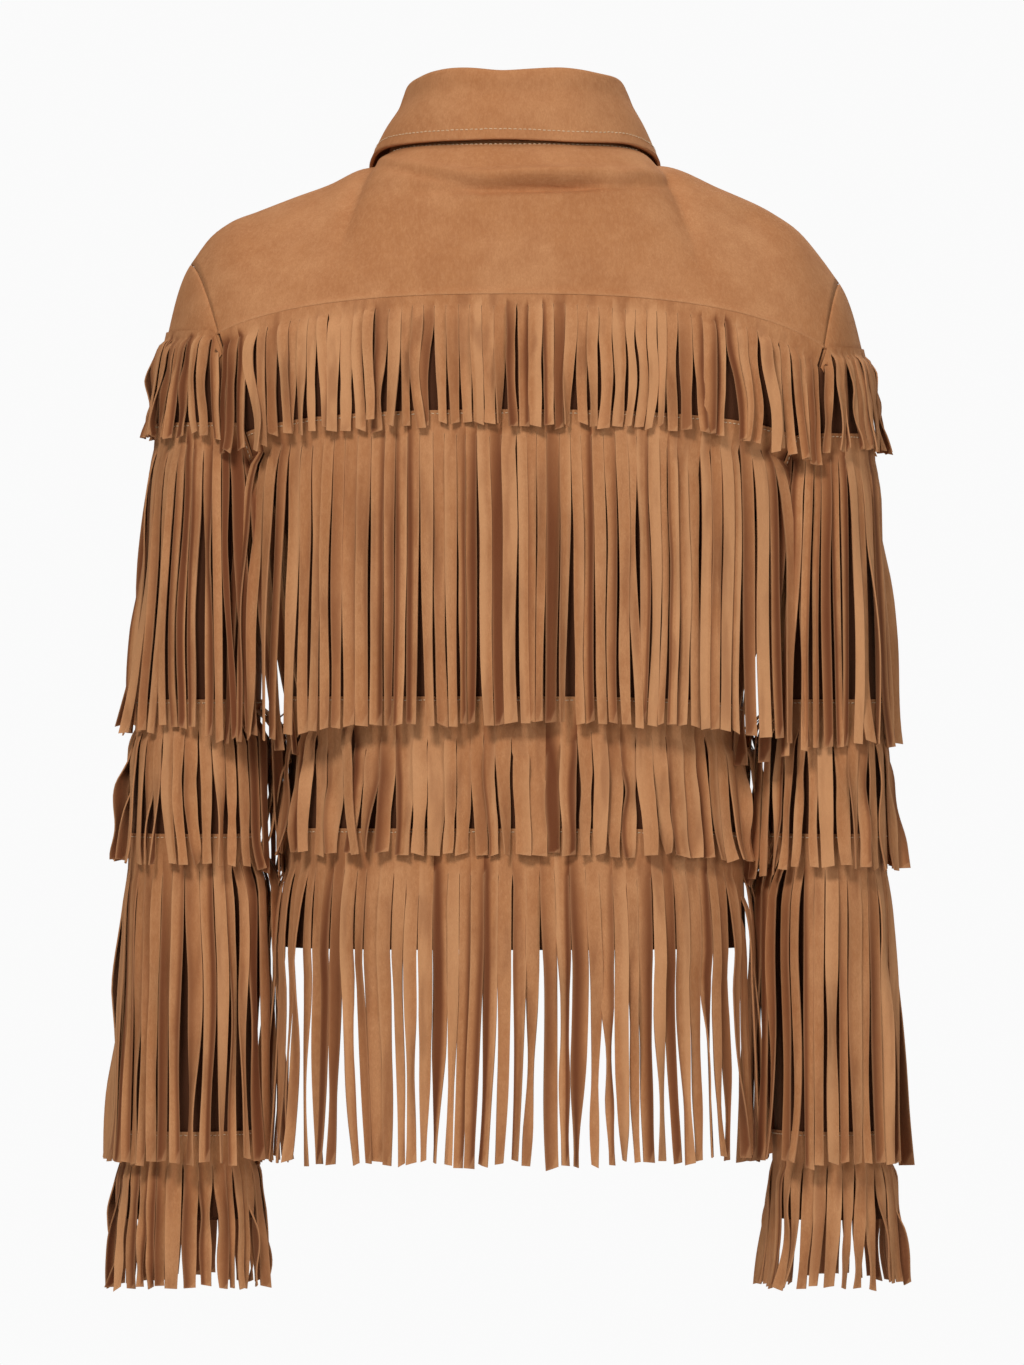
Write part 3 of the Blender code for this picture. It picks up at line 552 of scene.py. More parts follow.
suedeLook = {
    "middle": colour(187, 128, 83),
    "light": colour(212, 156, 110),
    "dark": colour(164, 104, 64),
    "edge": colour(204, 150, 106),
    # painted shade for the strips' undersides and their most shaded parts
    "under": colour(104, 54, 30),
    # painted shade for the cloth under the fringe, seen in the gaps between strips
    "deep": colour(68, 35, 19),
    "shade": colour(138, 84, 52),
    "shadeScale": 15.0,
    "shadeStretch": (6.0, 6.0, 1.0),
    "cloudScale": 17.0,
    "patchScale": 55.0,
    # how strongly each shows
    "clouds": 0.60,
    "patches": 0.42,
    "flecks": 0.30,
    "grain": 0.42,
    "tonesAndShade": 0.6,
    "shades": 0.44,
    "deepTonesAndShade": 0.85,
    "undersides": 0.8,
    "underFringeShading": 0.96,
    "edges": 0.45,
    "napScale": 1150.0,
    "napStretch": (1.0, 1.0, 0.45),
    "bump": 0.32,
}


def suedeFinish(name, strips):
    # Clouds of lighter and darker nap, a fine grain drawn out downward, and on strips the cut edges and
    # random tone; painted shade on strips and on the cloth under the fringe.
    look = suedeLook
    f = Finish(name)
    place = f.make("ShaderNodeTexCoord", "Object")
    cloud = f.spread(f.noise(place, look["cloudScale"], 3.0, 0.6), 0.33, 0.67)
    patch = f.spread(f.noise(place, look["patchScale"], 4.0, 0.65), 0.30, 0.72)
    drawn = f.make("ShaderNodeMapping", 0, {}, {"Vector": place, "Scale": look["napStretch"]})
    nap = f.noise(drawn, look["napScale"], 3.0, 0.7)
    fleck = f.spread(f.noise(drawn, look["napScale"] * 0.38, 2.0, 0.6), 0.35, 0.75)
    base = f.blend(cloud * look["clouds"], look["middle"], look["light"])
    base = f.blend(patch * look["patches"], base, look["dark"])
    base = f.blend(fleck * look["flecks"], base, look["light"])
    grain = f.spread(nap, 0.25, 0.75)
    base = f.blend((1 - grain) * look["grain"], base, look["dark"])
    if strips:
        # the tone mark is a random tone per strip mixed with painted shade: darker for strips lying low, on
        # one edge, and in the fold between body and sleeve
        toneAndShade = f.mark("toneAndShade")
        base = f.blend(f.spread(toneAndShade, 0.0, 1.2) * look["tonesAndShade"], base, look["light"])
        base = f.blend(f.spread(0 - toneAndShade, 0.0, 1.0) * look["tonesAndShade"], base, look["dark"])
        narrow = f.make("ShaderNodeMapping", 0, {}, {"Vector": place, "Scale": look["shadeStretch"]})
        shade = f.spread(f.noise(narrow, look["shadeScale"], 2.0, 0.5), 0.48, 0.70)
        base = f.blend(shade * look["shades"], base, look["shade"])
        # painted shade: the darkest tones go toward the underside's shade colour
        base = f.blend(f.spread(0 - toneAndShade, 0.25, 1.4) * look["deepTonesAndShade"], base, look["under"])
        # painted shade on the strips' inner faces
        base = f.blend(f.mark("under") * look["undersides"], base, look["under"])
    else:
        # painted shade: cloth under the fringe darkened as if shadowed by the strips
        base = f.blend(f.mark("shadedUnderFringe") * look["underFringeShading"], base, look["deep"])
    rawEdge = f.mark("edge") ** 5.0
    base = f.blend(rawEdge * look["edges"], base, look["edge"])
    f.feed(f.shader.inputs["Base Color"], base)
    f.feed(f.shader.inputs["Roughness"], 0.86 + grain * 0.12)
    height = grain * 0.6 + fleck * 0.6
    sockets = {"Strength": look["bump"], "Distance": 0.0005, "Height": height}
    f.feed(f.shader.inputs["Normal"], f.make("ShaderNodeBump", 0, {}, sockets))
    f.shader.inputs["Sheen Weight"].default_value = 0.22
    f.shader.inputs["Sheen Roughness"].default_value = 0.45
    f.shader.inputs["Sheen Tint"].default_value = look["light"]
    f.shader.inputs["Specular IOR Level"].default_value = 0.18
    return f.material


def threadFinish():
    f = Finish("thread")
    place = f.make("ShaderNodeTexCoord", "Object")
    twist = f.spread(f.noise(place, 2600.0, 1.0), 0.3, 0.7)
    f.feed(f.shader.inputs["Base Color"], f.blend(twist, colour(196, 160, 118), colour(236, 214, 180)))
    f.feed(f.shader.inputs["Roughness"], 0.6 + twist * 0.2)
    return f.material


def hornFinish():
    f = Finish("horn")
    place = f.make("ShaderNodeTexCoord", "Object")
    drawn = f.make("ShaderNodeMapping", 0, {}, {"Vector": place, "Scale": (1.0, 1.0, 0.25)})
    streak = f.spread(f.noise(drawn, 420.0, 4.0, 0.6), 0.35, 0.7)
    f.feed(f.shader.inputs["Base Color"], f.blend(streak, colour(58, 34, 22), colour(116, 74, 46)))
    f.feed(f.shader.inputs["Roughness"], 0.28 + streak * 0.18)
    return f.material


suede = suedeFinish("suede", False)
suedeStrips = suedeFinish("suedeStrips", True)
thread = threadFinish()
horn = hornFinish()
print("finishes made")


# Panels

panels = {
    "yokeRows": 60,
    "backRows": 90,
    "backColumns": 150,
    "frontRows": 120,
    "frontColumns": 76,
    "sleeveRows": 130,
    "sleeveColumns": 108,
    # gap of the centre front in mm, and where panels start and end, as shares down and across
    "seam": 0.3,
    "start": 0.002,
    "sleeveStart": 0.004,
    "sideSeam": 0.9985,
    # the raised edge of the yoke, and the last rows that show it
    "yokeRoll": 1.7,
    "yokeRollWidth": 0.018,
    "rollRows": (0.965, 0.9995, 10),
    # where fringe hides the sleeve, whose cloth there gets painted shade: heights of its start and of all
    # round, fade, places round
    "sleeveCover": -118.0,
    "sleeveCoverRound": -352.0,
    "coverFade": 14.0,
    "coverStart": 0.82,
    "coverEnd": 0.37,
}


def sided(start, end, count):
    # Evenly spaced places that never fall exactly on the centre line.
    places = np.linspace(start, end, count)
    return np.where(np.abs(places) < 1e-9, 1e-6, places)


def makeYoke():
    p = panels
    downs = np.concatenate([np.linspace(p["start"], 0.96, p["yokeRows"]), np.linspace(*p["rollRows"])])
    across, down = gridPlaces(downs, sided(-1, 1, p["backColumns"]))
    points = backSurface(across, down)
    outward = slopesNormal(backPlain, across, down, bodyInside)
    roll = hump((down - 1.0) / p["yokeRollWidth"])
    points = points + outward * (p["yokeRoll"] * roll)[..., None]
    piece = shellPiece("yokeShell", points, outward, suede, body["wall"], marks={"edge": roll * 0.9})
    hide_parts("back_yoke")
    return piece


def makeBackPanel():
    p = panels
    downs = np.linspace(1 + p["start"], 3, p["backRows"])
    across, down = gridPlaces(downs, sided(-p["sideSeam"], p["sideSeam"], p["backColumns"]))
    points = backSurface(across, down)
    outward = slopesNormal(backPlain, across, down, bodyInside)
    # painted shade over the whole back panel, which lies under the fringe
    marks = {"shadedUnderFringe": np.ones_like(down)}
    piece = shellPiece("backShell", points, outward, suede, body["wall"], marks=marks)
    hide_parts("back_panel")
    return piece


def makeFront(side, word):
    p = panels
    places = sided(0, p["sideSeam"], p["frontColumns"]) * side
    across, down = gridPlaces(np.linspace(p["start"], 3, p["frontRows"]), places)
    points = frontSurface(across, down)
    points[:, 0, 0] = side * p["seam"] / 2
    outward = slopesNormal(frontPlain, across, down, bodyInside)
    piece = shellPiece(f"frontShell{word}", points, outward, suede, body["wall"])
    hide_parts(f"front_{word.lower()}")
    return piece


def makeSleeve(side, word):
    p = panels
    places = np.linspace(0, 1, p["sleeveColumns"], endpoint=False)
    head = np.linspace(p["sleeveStart"], 1, p["sleeveRows"] // 3)
    around, down = gridPlaces(np.concatenate([head, np.linspace(1, 2, p["sleeveRows"])[1:]]), places)
    plain, folded = sleeveSurface(side)
    points = folded(around, down)
    outward = slopesNormal(plain, around, down, sleeveInside(side))
    # fringe hangs over the outer and back parts, and all round below its third seam; there the cloth gets
    # painted shade
    below = np.clip((p["sleeveCover"] - points[..., 2]) / p["coverFade"], 0, 1)
    lower = np.clip((p["sleeveCoverRound"] - points[..., 2]) / p["coverFade"], 0, 1)
    within = (around < p["coverEnd"]) | (around > p["coverStart"])
    marks = {"shadedUnderFringe": np.maximum(below * within, lower)}
    piece = shellPiece(f"sleeveShell{word}", points, outward, suede, sleeves["wall"], True, marks)
    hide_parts(f"sleeve_{word.lower()}")
    return piece


yokePiece = makeYoke()
backPiece = makeBackPanel()
frontPieces = {word: makeFront(side, word) for side, word in ((-1, "Left"), (1, "Right"))}
sleevePieces = {word: makeSleeve(side, word) for side, word in ((-1, "Left"), (1, "Right"))}
print("panels made")


# The collar

collar = {
    "endTurn": 170.0,
    "columns": 150,
    "standShare": 0.84,
    "standFoot": 2.6,
    "standLift": -3.0,
    "wall": 2.4,
    # turn from the centre back, fold x, y, z and outer edge x, y, z
    "lines": [(0.0, 0.0, -50.0, 59.5, 0.0, -66.0, 15.4), (30.0, 33.0, -44.0, 60.0, 46.5, -57.5, 14.6),
              (60.0, 56.0, -24.0, 58.0, 78.5, -33.0, 12.2), (90.0, 64.5, 4.0, 50.0, 91.5, 3.0, 6.2),
              (120.0, 59.0, 34.0, 27.0, 91.0, 45.0, -11.0), (150.0, 37.0, 57.0, -9.0, 73.0, 86.0, -53.0),
              (170.0, 13.0, 66.0, -32.0, 45.0, 102.0, -86.0)],
    # unevenness of the fold and the edge: turn, half width in turn, lift of the fold, lift of the edge
    "waves": [(-34.0, 14.0, 0.8, 0.4), (-8.0, 10.0, -0.9, 0.5), (24.0, 12.0, 0.6, -0.7),
              (52.0, 12.0, -1.0, 0.8), (78.0, 12.0, 0.8, -0.8), (-66.0, 16.0, -0.9, 0.9),
              (110.0, 20.0, 0.8, 0.6), (-112.0, 20.0, 0.6, 0.8)],
    # soft dents of the fall: turn, share down, half length in turn, half width in share, height
    "dents": [(-20.0, 0.45, 26.0, 0.16, -1.0), (26.0, 0.62, 20.0, 0.14, 0.9),
              (66.0, 0.34, 20.0, 0.22, -2.6), (-70.0, 0.45, 22.0, 0.28, -4.0), (4.0, 0.75, 14.0, 0.12, 0.6),
              (112.0, 0.5, 20.0, 0.25, 0.9), (-118.0, 0.5, 20.0, 0.25, -0.9)],
    # rows that guide the fall after its first two: share of the drop to the edge, mm outward, mm up
    "guides": [(0.0, 1.26, 0.2), (0.0, 5.4, 0.1), (0.0, 7.74, -3.6), (0.3, 3.45, 0.0), (0.6, 2.7, 0.0)],
    # shares of the way along the fall at which all its guiding rows lie, and the rows of the meshes
    "overlap": 0.3,
    "fallRows": 64,
    "standRows": 14,
    "places": [0.0, 0.08, 0.16, 0.24, 0.34, 0.52, 0.74, 1.0],
}


def collarLines(turns):
    # Neck, fold and edge points at signed turns, with small Gaussian waves along the fold and the edge.
    sign = np.where(turns < 0, -1.0, 1.0)
    size = np.abs(turns)
    neck = np.stack(neckPoint(np.radians(size)), axis=-1)
    x, y, z, edgeX, edgeY, edgeZ = [through(collar["lines"], column, size) for column in range(1, 7)]
    fold, edge = np.stack([x, y, z], axis=-1), np.stack([edgeX, edgeY, edgeZ], axis=-1)
    for turn, width, foldLift, edgeLift in collar["waves"]:
        wave = hump((turns - turn) / width)
        fold[:, 2] = fold[:, 2] + wave * foldLift
        edge[:, 2] = edge[:, 2] + wave * edgeLift
    mirror = np.stack([sign, np.ones_like(sign), np.ones_like(sign)], axis=-1)
    return neck * mirror, fold * mirror, edge * mirror


def levelOutward(line):
    # Level directions square to a line about the neck, away from the neck's middle.
    along = np.gradient(line, axis=0)
    out = levelSide(along)
    away = (line - [0.0, body["neckMiddleY"], 0.0]) * [1, 1, 0]
    return unit(out * np.sign(np.sum(out * away, axis=-1, keepdims=True)))


def gridNormals(grid):
    return unit(np.cross(np.gradient(grid, axis=1), np.gradient(grid, axis=0)))


def wallPiece(name, middle, wall, outward, marks):
    # A closed wall about a middle surface: both faces and the rims.
    rows, columns = middle.shape[:2]
    lean = gridNormals(middle)
    facing = np.sum(lean * outward, axis=-1)
    lean = lean * np.sign(facing[-2].mean())
    half = wall / 2
    points = np.concatenate([(middle + lean * half).reshape(-1, 3), (middle - lean * half).reshape(-1, 3)])
    count = rows * columns
    outer = gridFaces(rows, columns, False)
    inner = outer[:, ::-1] + count
    index = np.arange(count).reshape(rows, columns)
    border = np.concatenate([index[0], index[1:, -1], index[-1, -2::-1], index[-2:0:-1, 0]])
    following = np.roll(border, -1)
    rim = np.stack([following, border, border + count, following + count], axis=-1)
    faces = outsideOut(points, np.concatenate([outer, inner, rim]))
    both = {key: np.concatenate([np.ravel(value), np.ravel(value)]) for key, value in marks.items()}
    return meshFromArrays(name, points, [faces], suede, both)


def collarGrid():
    # The stand is ruled from its foot to the join; the fall is a cubic path from there over the fold.
    c = collar
    turns = np.linspace(-c["endTurn"], c["endTurn"], c["columns"])
    neck, fold, edge = collarLines(turns)
    out = levelOutward(fold)
    up = np.array([0.0, 0.0, 1.0])
    foot = neck - out * c["standFoot"] + up * c["standLift"]
    join = foot + (fold - foot) * c["standShare"]
    rows = [join + unit(fold - foot) * c["overlap"], foot + (fold - foot) * (c["standShare"] + 1) / 2]
    rows += [fold + (edge - fold) * share + out * away + up * high for share, away, high in c["guides"]]
    rows.append(edge)
    at = np.linspace(0, 1, c["fallRows"])
    fall = cubicPath(np.array(c["places"]), np.stack(rows), at)
    turn, share = np.meshgrid(turns, at)
    dent = np.zeros_like(turn)
    for atTurn, atShare, length, width, height in c["dents"]:
        dent = dent + height * hump((turn - atTurn) / length, (share - atShare) / width)
    fall = fall + out[None] * dent[..., None]
    stand = foot[None] + (join - foot)[None] * np.linspace(0, 1, c["standRows"])[:, None, None]
    return turns, at, fall, stand, out


def makeCollar():
    turns, at, fall, stand, out = collarGrid()
    edge = np.zeros(fall.shape[:2])
    edge[-1] = 0.9
    fallPiece = wallPiece("collarFall", fall, collar["wall"], out[None], {"edge": edge})
    standPiece = wallPiece("collarStand", stand, collar["wall"], out[None], {})
    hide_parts("collar_fall")
    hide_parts("collar_stand")
    return fallPiece, standPiece


collarFallPiece, collarStandPiece = makeCollar()
print("collar made")


# Fringe. A tier is one comb: a band that lies on the cloth and is cut into strips below

fringe = {
    "thickness": 0.95,
    "lie": 0.45,
    "bandRows": 5,
    "stripRows": 22,
    "liftPower": 1.3,
    "halfSlant": 0.6,
    "layers": [0.0, 1.8, 0.6, 2.6, 1.1],
    # painted shade: strips nearer the cloth darker, those standing off lighter
    "layerShade": 0.3,
    "leastCut": 3.0,
    "yokeSeamDown": 1.001,
    "headDown": 0.03,
    "sharpAngle": 45.0,
    "stripGap": 0.03,
    # samples down and across that stand for the cloth, and down it for finding a height
    "backSamples": (170, 190),
    "sleeveSamples": (190, 170),
    "findSamples": 300,
    # shape along a strip: powers, and how soon twist, wobble, layer, curl and narrowing begin
    "twistPower": 0.8,
    "wobbleStart": 2.5,
    "layerStart": 9.0,
    "earlyStart": 3.0,
    "swayWaves": 5.0,
    "curlReach": 1.6,
    "curlFrom": 0.8,
    "flareRound": 5,
    "flareDown": 0.4,
    "openLength": 0.3,
    "widthWaves": 0.35,
    "overlap": 0.05,
    "overlapStart": 8.0,
    "slantPower": 9,
    "bandTone": 0.6,
    # how near to a strip the cloth's samples count, and what stands for none
    "nearSide": 1.5,
    "nearBelow": 9.0,
    "nearBehind": -40.0,
    "none": -60.0,
    "smoothings": 3,
}


def tierSpec(seam, tip, strips, band, lift, **more):
    # Heights and lengths in mm. band is how wide the uncut part is, and lift how far the tips stand off.
    # lean, sway and wobble move strips sideways, and squeeze draws a group together. twist turns them, in
    # degrees; rolled is the share that turns far, from rollFrom down. uneven and cutUneven vary the lower
    # and upper ends. flare moves the back's end strips out. opens is where strips begin to be narrower.
    base = dict(seam=seam, tip=tip, strips=strips, band=band, lift=lift, lean=3.0, sway=1.0, twist=16.0,
                uneven=4.0, cutUneven=1.5, curl=1.0, rolled=0.16, rollFrom=0.25, squeeze=0.3, flare=0.0,
                leanPower=1.3, wobble=0.25, atYoke=False, opens=(0.0, 0.7), narrow=0.16, special=[],
                shaded=[])
    base.update(more)
    return base


# Seam and tip heights are given at the middle, the left end and the right end.
# special: share across, half width of its reach, lean, twist, more length, stand-off, lower cut
# shaded: share across, half width of its reach, how much darker the painted shade makes the strips between
# body and sleeve
backTiers = [
    tierSpec((-85.6, -111.5, -123.5), (-167.5, -187.0, -193.0), 55, 4.5, 2.6, furthest=0.985,
             lean=1.7, uneven=3.0, rolled=0.12, atYoke=True, shaded=[(-0.97, 0.09, 0.5), (0.97, 0.09, 0.5)],
             special=[
                 (-0.95, 0.04, 0.0, 12.0, 0.0, 1.4, 0.0), (-0.80, 0.05, 5.0, 30.0, 3.0, 1.5, 0.0),
                 (-0.68, 0.04, 7.0, 24.0, -2.0, 2.0, 0.0), (-0.52, 0.03, 5.0, -34.0, -4.0, 3.5, 0.0),
                 (-0.36, 0.014, 3.0, 20.0, -7.0, 6.0, 0.0), (-0.29, 0.012, -3.0, 18.0, -5.0, 5.0, 0.0),
                 (-0.22, 0.02, 3.0, -16.0, 0.0, 1.5, 0.0), (0.44, 0.02, 4.0, 20.0, 0.0, 1.0, 0.0),
                 (0.58, 0.03, 7.0, 40.0, 2.0, 2.5, 0.0), (0.70, 0.04, 6.0, 34.0, 5.0, 2.5, 0.0),
                 (0.84, 0.05, 6.0, 24.0, 4.0, 2.0, 0.0)]),
    tierSpec((-158.0, -171.0, -173.0), (-357.0, -372.0, -371.0), 50, 14.0, 2.8, furthest=0.985,
             lean=1.7, sway=1.2, flare=19.0, uneven=2.4, cutUneven=3.0, rolled=0.16,
             shaded=[(-0.97, 0.09, 1.2), (0.98, 0.09, 1.2)], special=[
                 (0.47, 0.045, 0.0, 0.0, 0.0, 0.6, 26.0), (-0.93, 0.05, 5.0, 20.0, 0.0, 2.0, 0.0),
                 (-0.80, 0.035, 4.0, 50.0, 3.0, 1.0, 0.0), (-0.71, 0.02, -9.0, 10.0, 2.0, 4.0, 0.0),
                 (0.80, 0.04, -3.0, 40.0, 0.0, 2.0, 0.0), (0.92, 0.04, -5.0, -18.0, 0.0, 2.0, 0.0)]),
    tierSpec((-340.0, -340.0, -350.0), (-441.0, -440.0, -446.0), 46, 22.0, 2.8, furthest=0.985,
             lean=2.2, sway=0.8, flare=16.5, uneven=3.0, cutUneven=7.0, rolled=0.16,
             shaded=[(-1.0, 0.07, 0.9), (1.0, 0.07, 0.9)], special=[
                 (-0.43, 0.018, 13.0, 30.0, 0.0, 3.4, -4.0), (-0.37, 0.016, -13.0, -26.0, 0.0, 6.0, -4.0),
                 (0.04, 0.03, 0.0, 0.0, 0.0, 0.4, 30.0), (0.86, 0.06, 4.0, 44.0, 3.0, 3.0, 0.0),
                 (-1.0, 0.06, -2.0, 20.0, 10.0, 1.0, -14.0), (1.0, 0.06, 2.0, -20.0, 10.0, 1.0, -14.0),
                 (-0.86, 0.05, -3.0, 5.0, 2.0, 1.5, 26.0), (-0.70, 0.03, 2.0, 46.0, 0.0, 2.0, 0.0)]),
    tierSpec((-424.0, -425.0, -430.0), (-638.0, -638.0, -632.0), 52, 25.0, 4.0, furthest=0.985,
             lean=4.2, uneven=5.0, cutUneven=4.0, rolled=0.4, rollFrom=0.5, squeeze=0.5, flare=15.0,
             leanPower=2.2, wobble=0.45, opens=(0.25, 0.8), narrow=0.32,
             shaded=[(-0.97, 0.08, 0.8), (0.97, 0.08, 0.8)], special=[
                 (-0.62, 0.02, 3.0, 60.0, 0.0, 1.0, 0.0), (0.12, 0.03, 0.0, -50.0, 0.0, 1.5, 0.0),
                 (-0.20, 0.04, 0.0, 0.0, 0.0, 0.5, 20.0), (0.75, 0.05, 0.0, 0.0, 0.0, 0.5, 30.0),
                 (-1.0, 0.07, -2.0, 20.0, 0.0, 1.0, -18.0), (1.0, 0.07, 2.0, -20.0, 0.0, 1.0, -18.0)]),
]

# What both sleeves' tiers share, from the shoulder down, with the places round where each starts and ends
sleeveStyles = [
    dict(band=4.0, lift=2.6, start=-0.20, end=0.27, lean=2.2, uneven=3.0,
         special=[(0.25, 0.03, 3.0, 20.0, 0.0, 1.0, 0.0)]),
    dict(band=14.0, lift=3.0, start=-0.29, end=0.42, lean=2.2, sway=1.4, cutUneven=5.0, wobble=0.35,
         special=[(0.40, 0.075, 15.0, -20.0, 13.0, 14.0, 0.0)], shaded=[(0.34, 0.10, 1.4)]),
    dict(band=18.0, lift=3.0, start=0.0, end=1.0, lean=2.0, uneven=3.0, cutUneven=4.0,
         special=[(0.47, 0.11, 0.0, 14.0, 11.0, 11.0, -14.0)], shaded=[(0.44, 0.10, 1.2)]),
    dict(band=22.0, lift=3.2, start=0.0, end=1.0, lean=1.7, sway=1.2, cutUneven=4.0, wobble=0.35,
         special=[(0.47, 0.11, 0.0, 14.0, 0.0, 10.0, -16.0)], shaded=[(0.44, 0.10, 1.2)]),
    dict(band=20.0, lift=4.0, start=0.0, end=1.0, lean=2.6, squeeze=0.5, wobble=0.3, narrow=0.24),
]
# each tier's seam, tip and number of strips, then what differs on that side
sleeveTiers = {
    -1: [(-106.0, -174.0, 21, dict(rolled=0.2)), (-165.0, -362.0, 29, dict(rolled=0.34, uneven=6.0)),
         (-342.0, -446.0, 37, dict(rolled=0.16)), (-428.0, -638.0, 37, dict(rolled=0.26)),
         (-619.0, -719.0, 37, dict(rolled=0.26))],
    1: [(-117.0, -183.0, 20, dict(rolled=0.24)), (-172.0, -371.0, 28, dict(rolled=0.38)),
        (-342.0, -449.0, 35, dict(rolled=0.2)), (-428.0, -640.0, 35, dict(rolled=0.26)),
        (-619.0, -718.0, 35, dict(rolled=0.26))],
}
sleeveTiers = {side: [tierSpec(seam, tip, strips, **style, **more)
                      for (seam, tip, strips, more), style in zip(tiers, sleeveStyles)]
               for side, tiers in sleeveTiers.items()}


def findDown(surface, across, heights):
    # Where columns of a surface pass rows of heights: the count of samples above, then a share between.
    downs = np.linspace(0, 3, fringe["findSamples"])
    levels = surface(across[None], downs.reshape(-1, *[1] * across.ndim))[..., 2]
    index = np.clip((levels[:, None] > heights[None]).sum(axis=0), 1, len(downs) - 1)
    before = np.take_along_axis(levels, index - 1, axis=0)
    after = np.take_along_axis(levels, index, axis=0)
    share = np.clip((before - heights) / np.maximum(before - after, 1e-6), 0, 1)
    return downs[index - 1] + share * (downs[1] - downs[0])


def clothReach(samples, root, out, halfWidth, depths):
    # How far the cloth stands out beyond a root at each depth below it, within the strip's own width.
    sideways = levelSide(out)
    offset = samples - root
    stand = offset @ out
    near = (np.abs(offset @ sideways) < halfWidth + fringe["nearSide"]) & (stand > fringe["nearBehind"])
    window = np.abs(-offset[near, 2] - depths[:, None]) < fringe["nearBelow"]
    return np.where(window, stand[near], fringe["none"]).max(axis=1, initial=fringe["none"])


def groupsOf(count):
    # Neighbouring strips fall into groups of one to five that hang together.
    sizes = rng.integers(1, 6, count)
    return np.repeat(np.arange(count), sizes)[:count]


def tierHang(spec, share, strips):
    # Each strip's own lean, sway, twist, lengths and layer: shared by its group, then varied a little.
    groups = groupsOf(strips)
    starts = np.searchsorted(groups, groups)
    ends = np.searchsorted(groups, groups, side="right")
    place = np.arange(strips) - (starts + ends - 1) / 2
    count = strips + 1
    h = {}

    def shared(groupSpread, ownSpread):
        # one value for the group and one of the strip's own
        return rng.normal(0, groupSpread, count)[groups], rng.normal(0, ownSpread, strips)

    group, own = shared(spec["lean"], 0.4)
    h["lean"] = group - place * spec["squeeze"] + own
    h["sway"] = sum(shared(spec["sway"], 0.25))
    h["swayTurn"] = rng.uniform(0, 2 * math.pi, count)[groups]
    h["wobble"] = rng.normal(0, spec["wobble"], strips)
    h["wobbleTurn"] = rng.uniform(0, 2 * math.pi, strips)
    h["wobbleRate"] = rng.uniform(3.5, 9.0, strips)
    h["opens"] = rng.uniform(*spec["opens"], strips)
    h["narrow"] = spec["narrow"] * rng.uniform(0.3, 1.5, strips)
    # painted shade: one edge of each strip darker and the other lighter, as if turned from the light
    h["side"] = rng.normal(0, 0.95, strips)
    twist = rng.normal(0, spec["twist"], strips)
    rolled = rng.random(strips) < spec["rolled"]
    far = rng.choice([-1, 1], strips) * rng.uniform(30, 85, strips)
    h["twist"] = np.radians(np.where(rolled, far, twist))
    h["twistFrom"] = np.where(rolled, rng.uniform(0.5, 1.3, strips) * spec["rollFrom"], 0.0)
    h["length"] = sum(shared(0.35, 0.22)) * spec["uneven"]
    h["cut"] = np.abs(rng.normal(0, spec["cutUneven"], strips))
    h["layer"] = np.resize(fringe["layers"], strips) + rng.uniform(0, 0.3, strips)
    h["cup"] = rng.normal(0, 0.5, strips)
    h["curl"] = rng.normal(0.3, spec["curl"], strips)
    # random tone per group and strip, with painted shade making strips that lie nearer the cloth darker
    h["toneAndShade"] = sum(shared(0.4, 0.55)) + (h["layer"] - 1.3) * fringe["layerShade"]
    h["slant"] = rng.normal(0, fringe["halfSlant"], strips)
    for middle, width, lean, twist, length, standOff, cut in spec["special"]:
        near = hump((share - middle) / width)
        for key, value in (("lean", lean), ("twist", math.radians(twist)), ("cut", cut)):
            h[key] = h[key] * (1 - near) + near * value
        h["length"] = h["length"] + near * length
        h["layer"] = h["layer"] + near * standOff
    # painted shade on the strips in the shaded fold between body and sleeve
    for middle, width, darker in spec["shaded"]:
        h["toneAndShade"] = h["toneAndShade"] - darker * hump((share - middle) / width)
    return h


def isClosed(spec):
    return "end" in spec and spec["end"] - spec["start"] == 1.0


def acrossShare(spec, places):
    return places / spec["furthest"] if "furthest" in spec else places


def tierHeights(spec, surface, places):
    # Level, seam and tip at places. On the back the level is a parabola to each side's own height.
    # On a sleeve it is the same all round, and the seam of an open tier lies below the armhole.
    if "furthest" in spec:
        share = acrossShare(spec, places)
        level, tip = [middle + (bySide(share, left, right) - middle) * share**2
                      for middle, left, right in (spec["seam"], spec["tip"])]
        return level, level, tip
    level, tip = np.full_like(places, spec["seam"]), np.full_like(places, spec["tip"])
    if isClosed(spec):
        return level, level, tip
    return level, np.minimum(level, surface(places, np.full_like(places, fringe["headDown"]))[..., 2]), tip


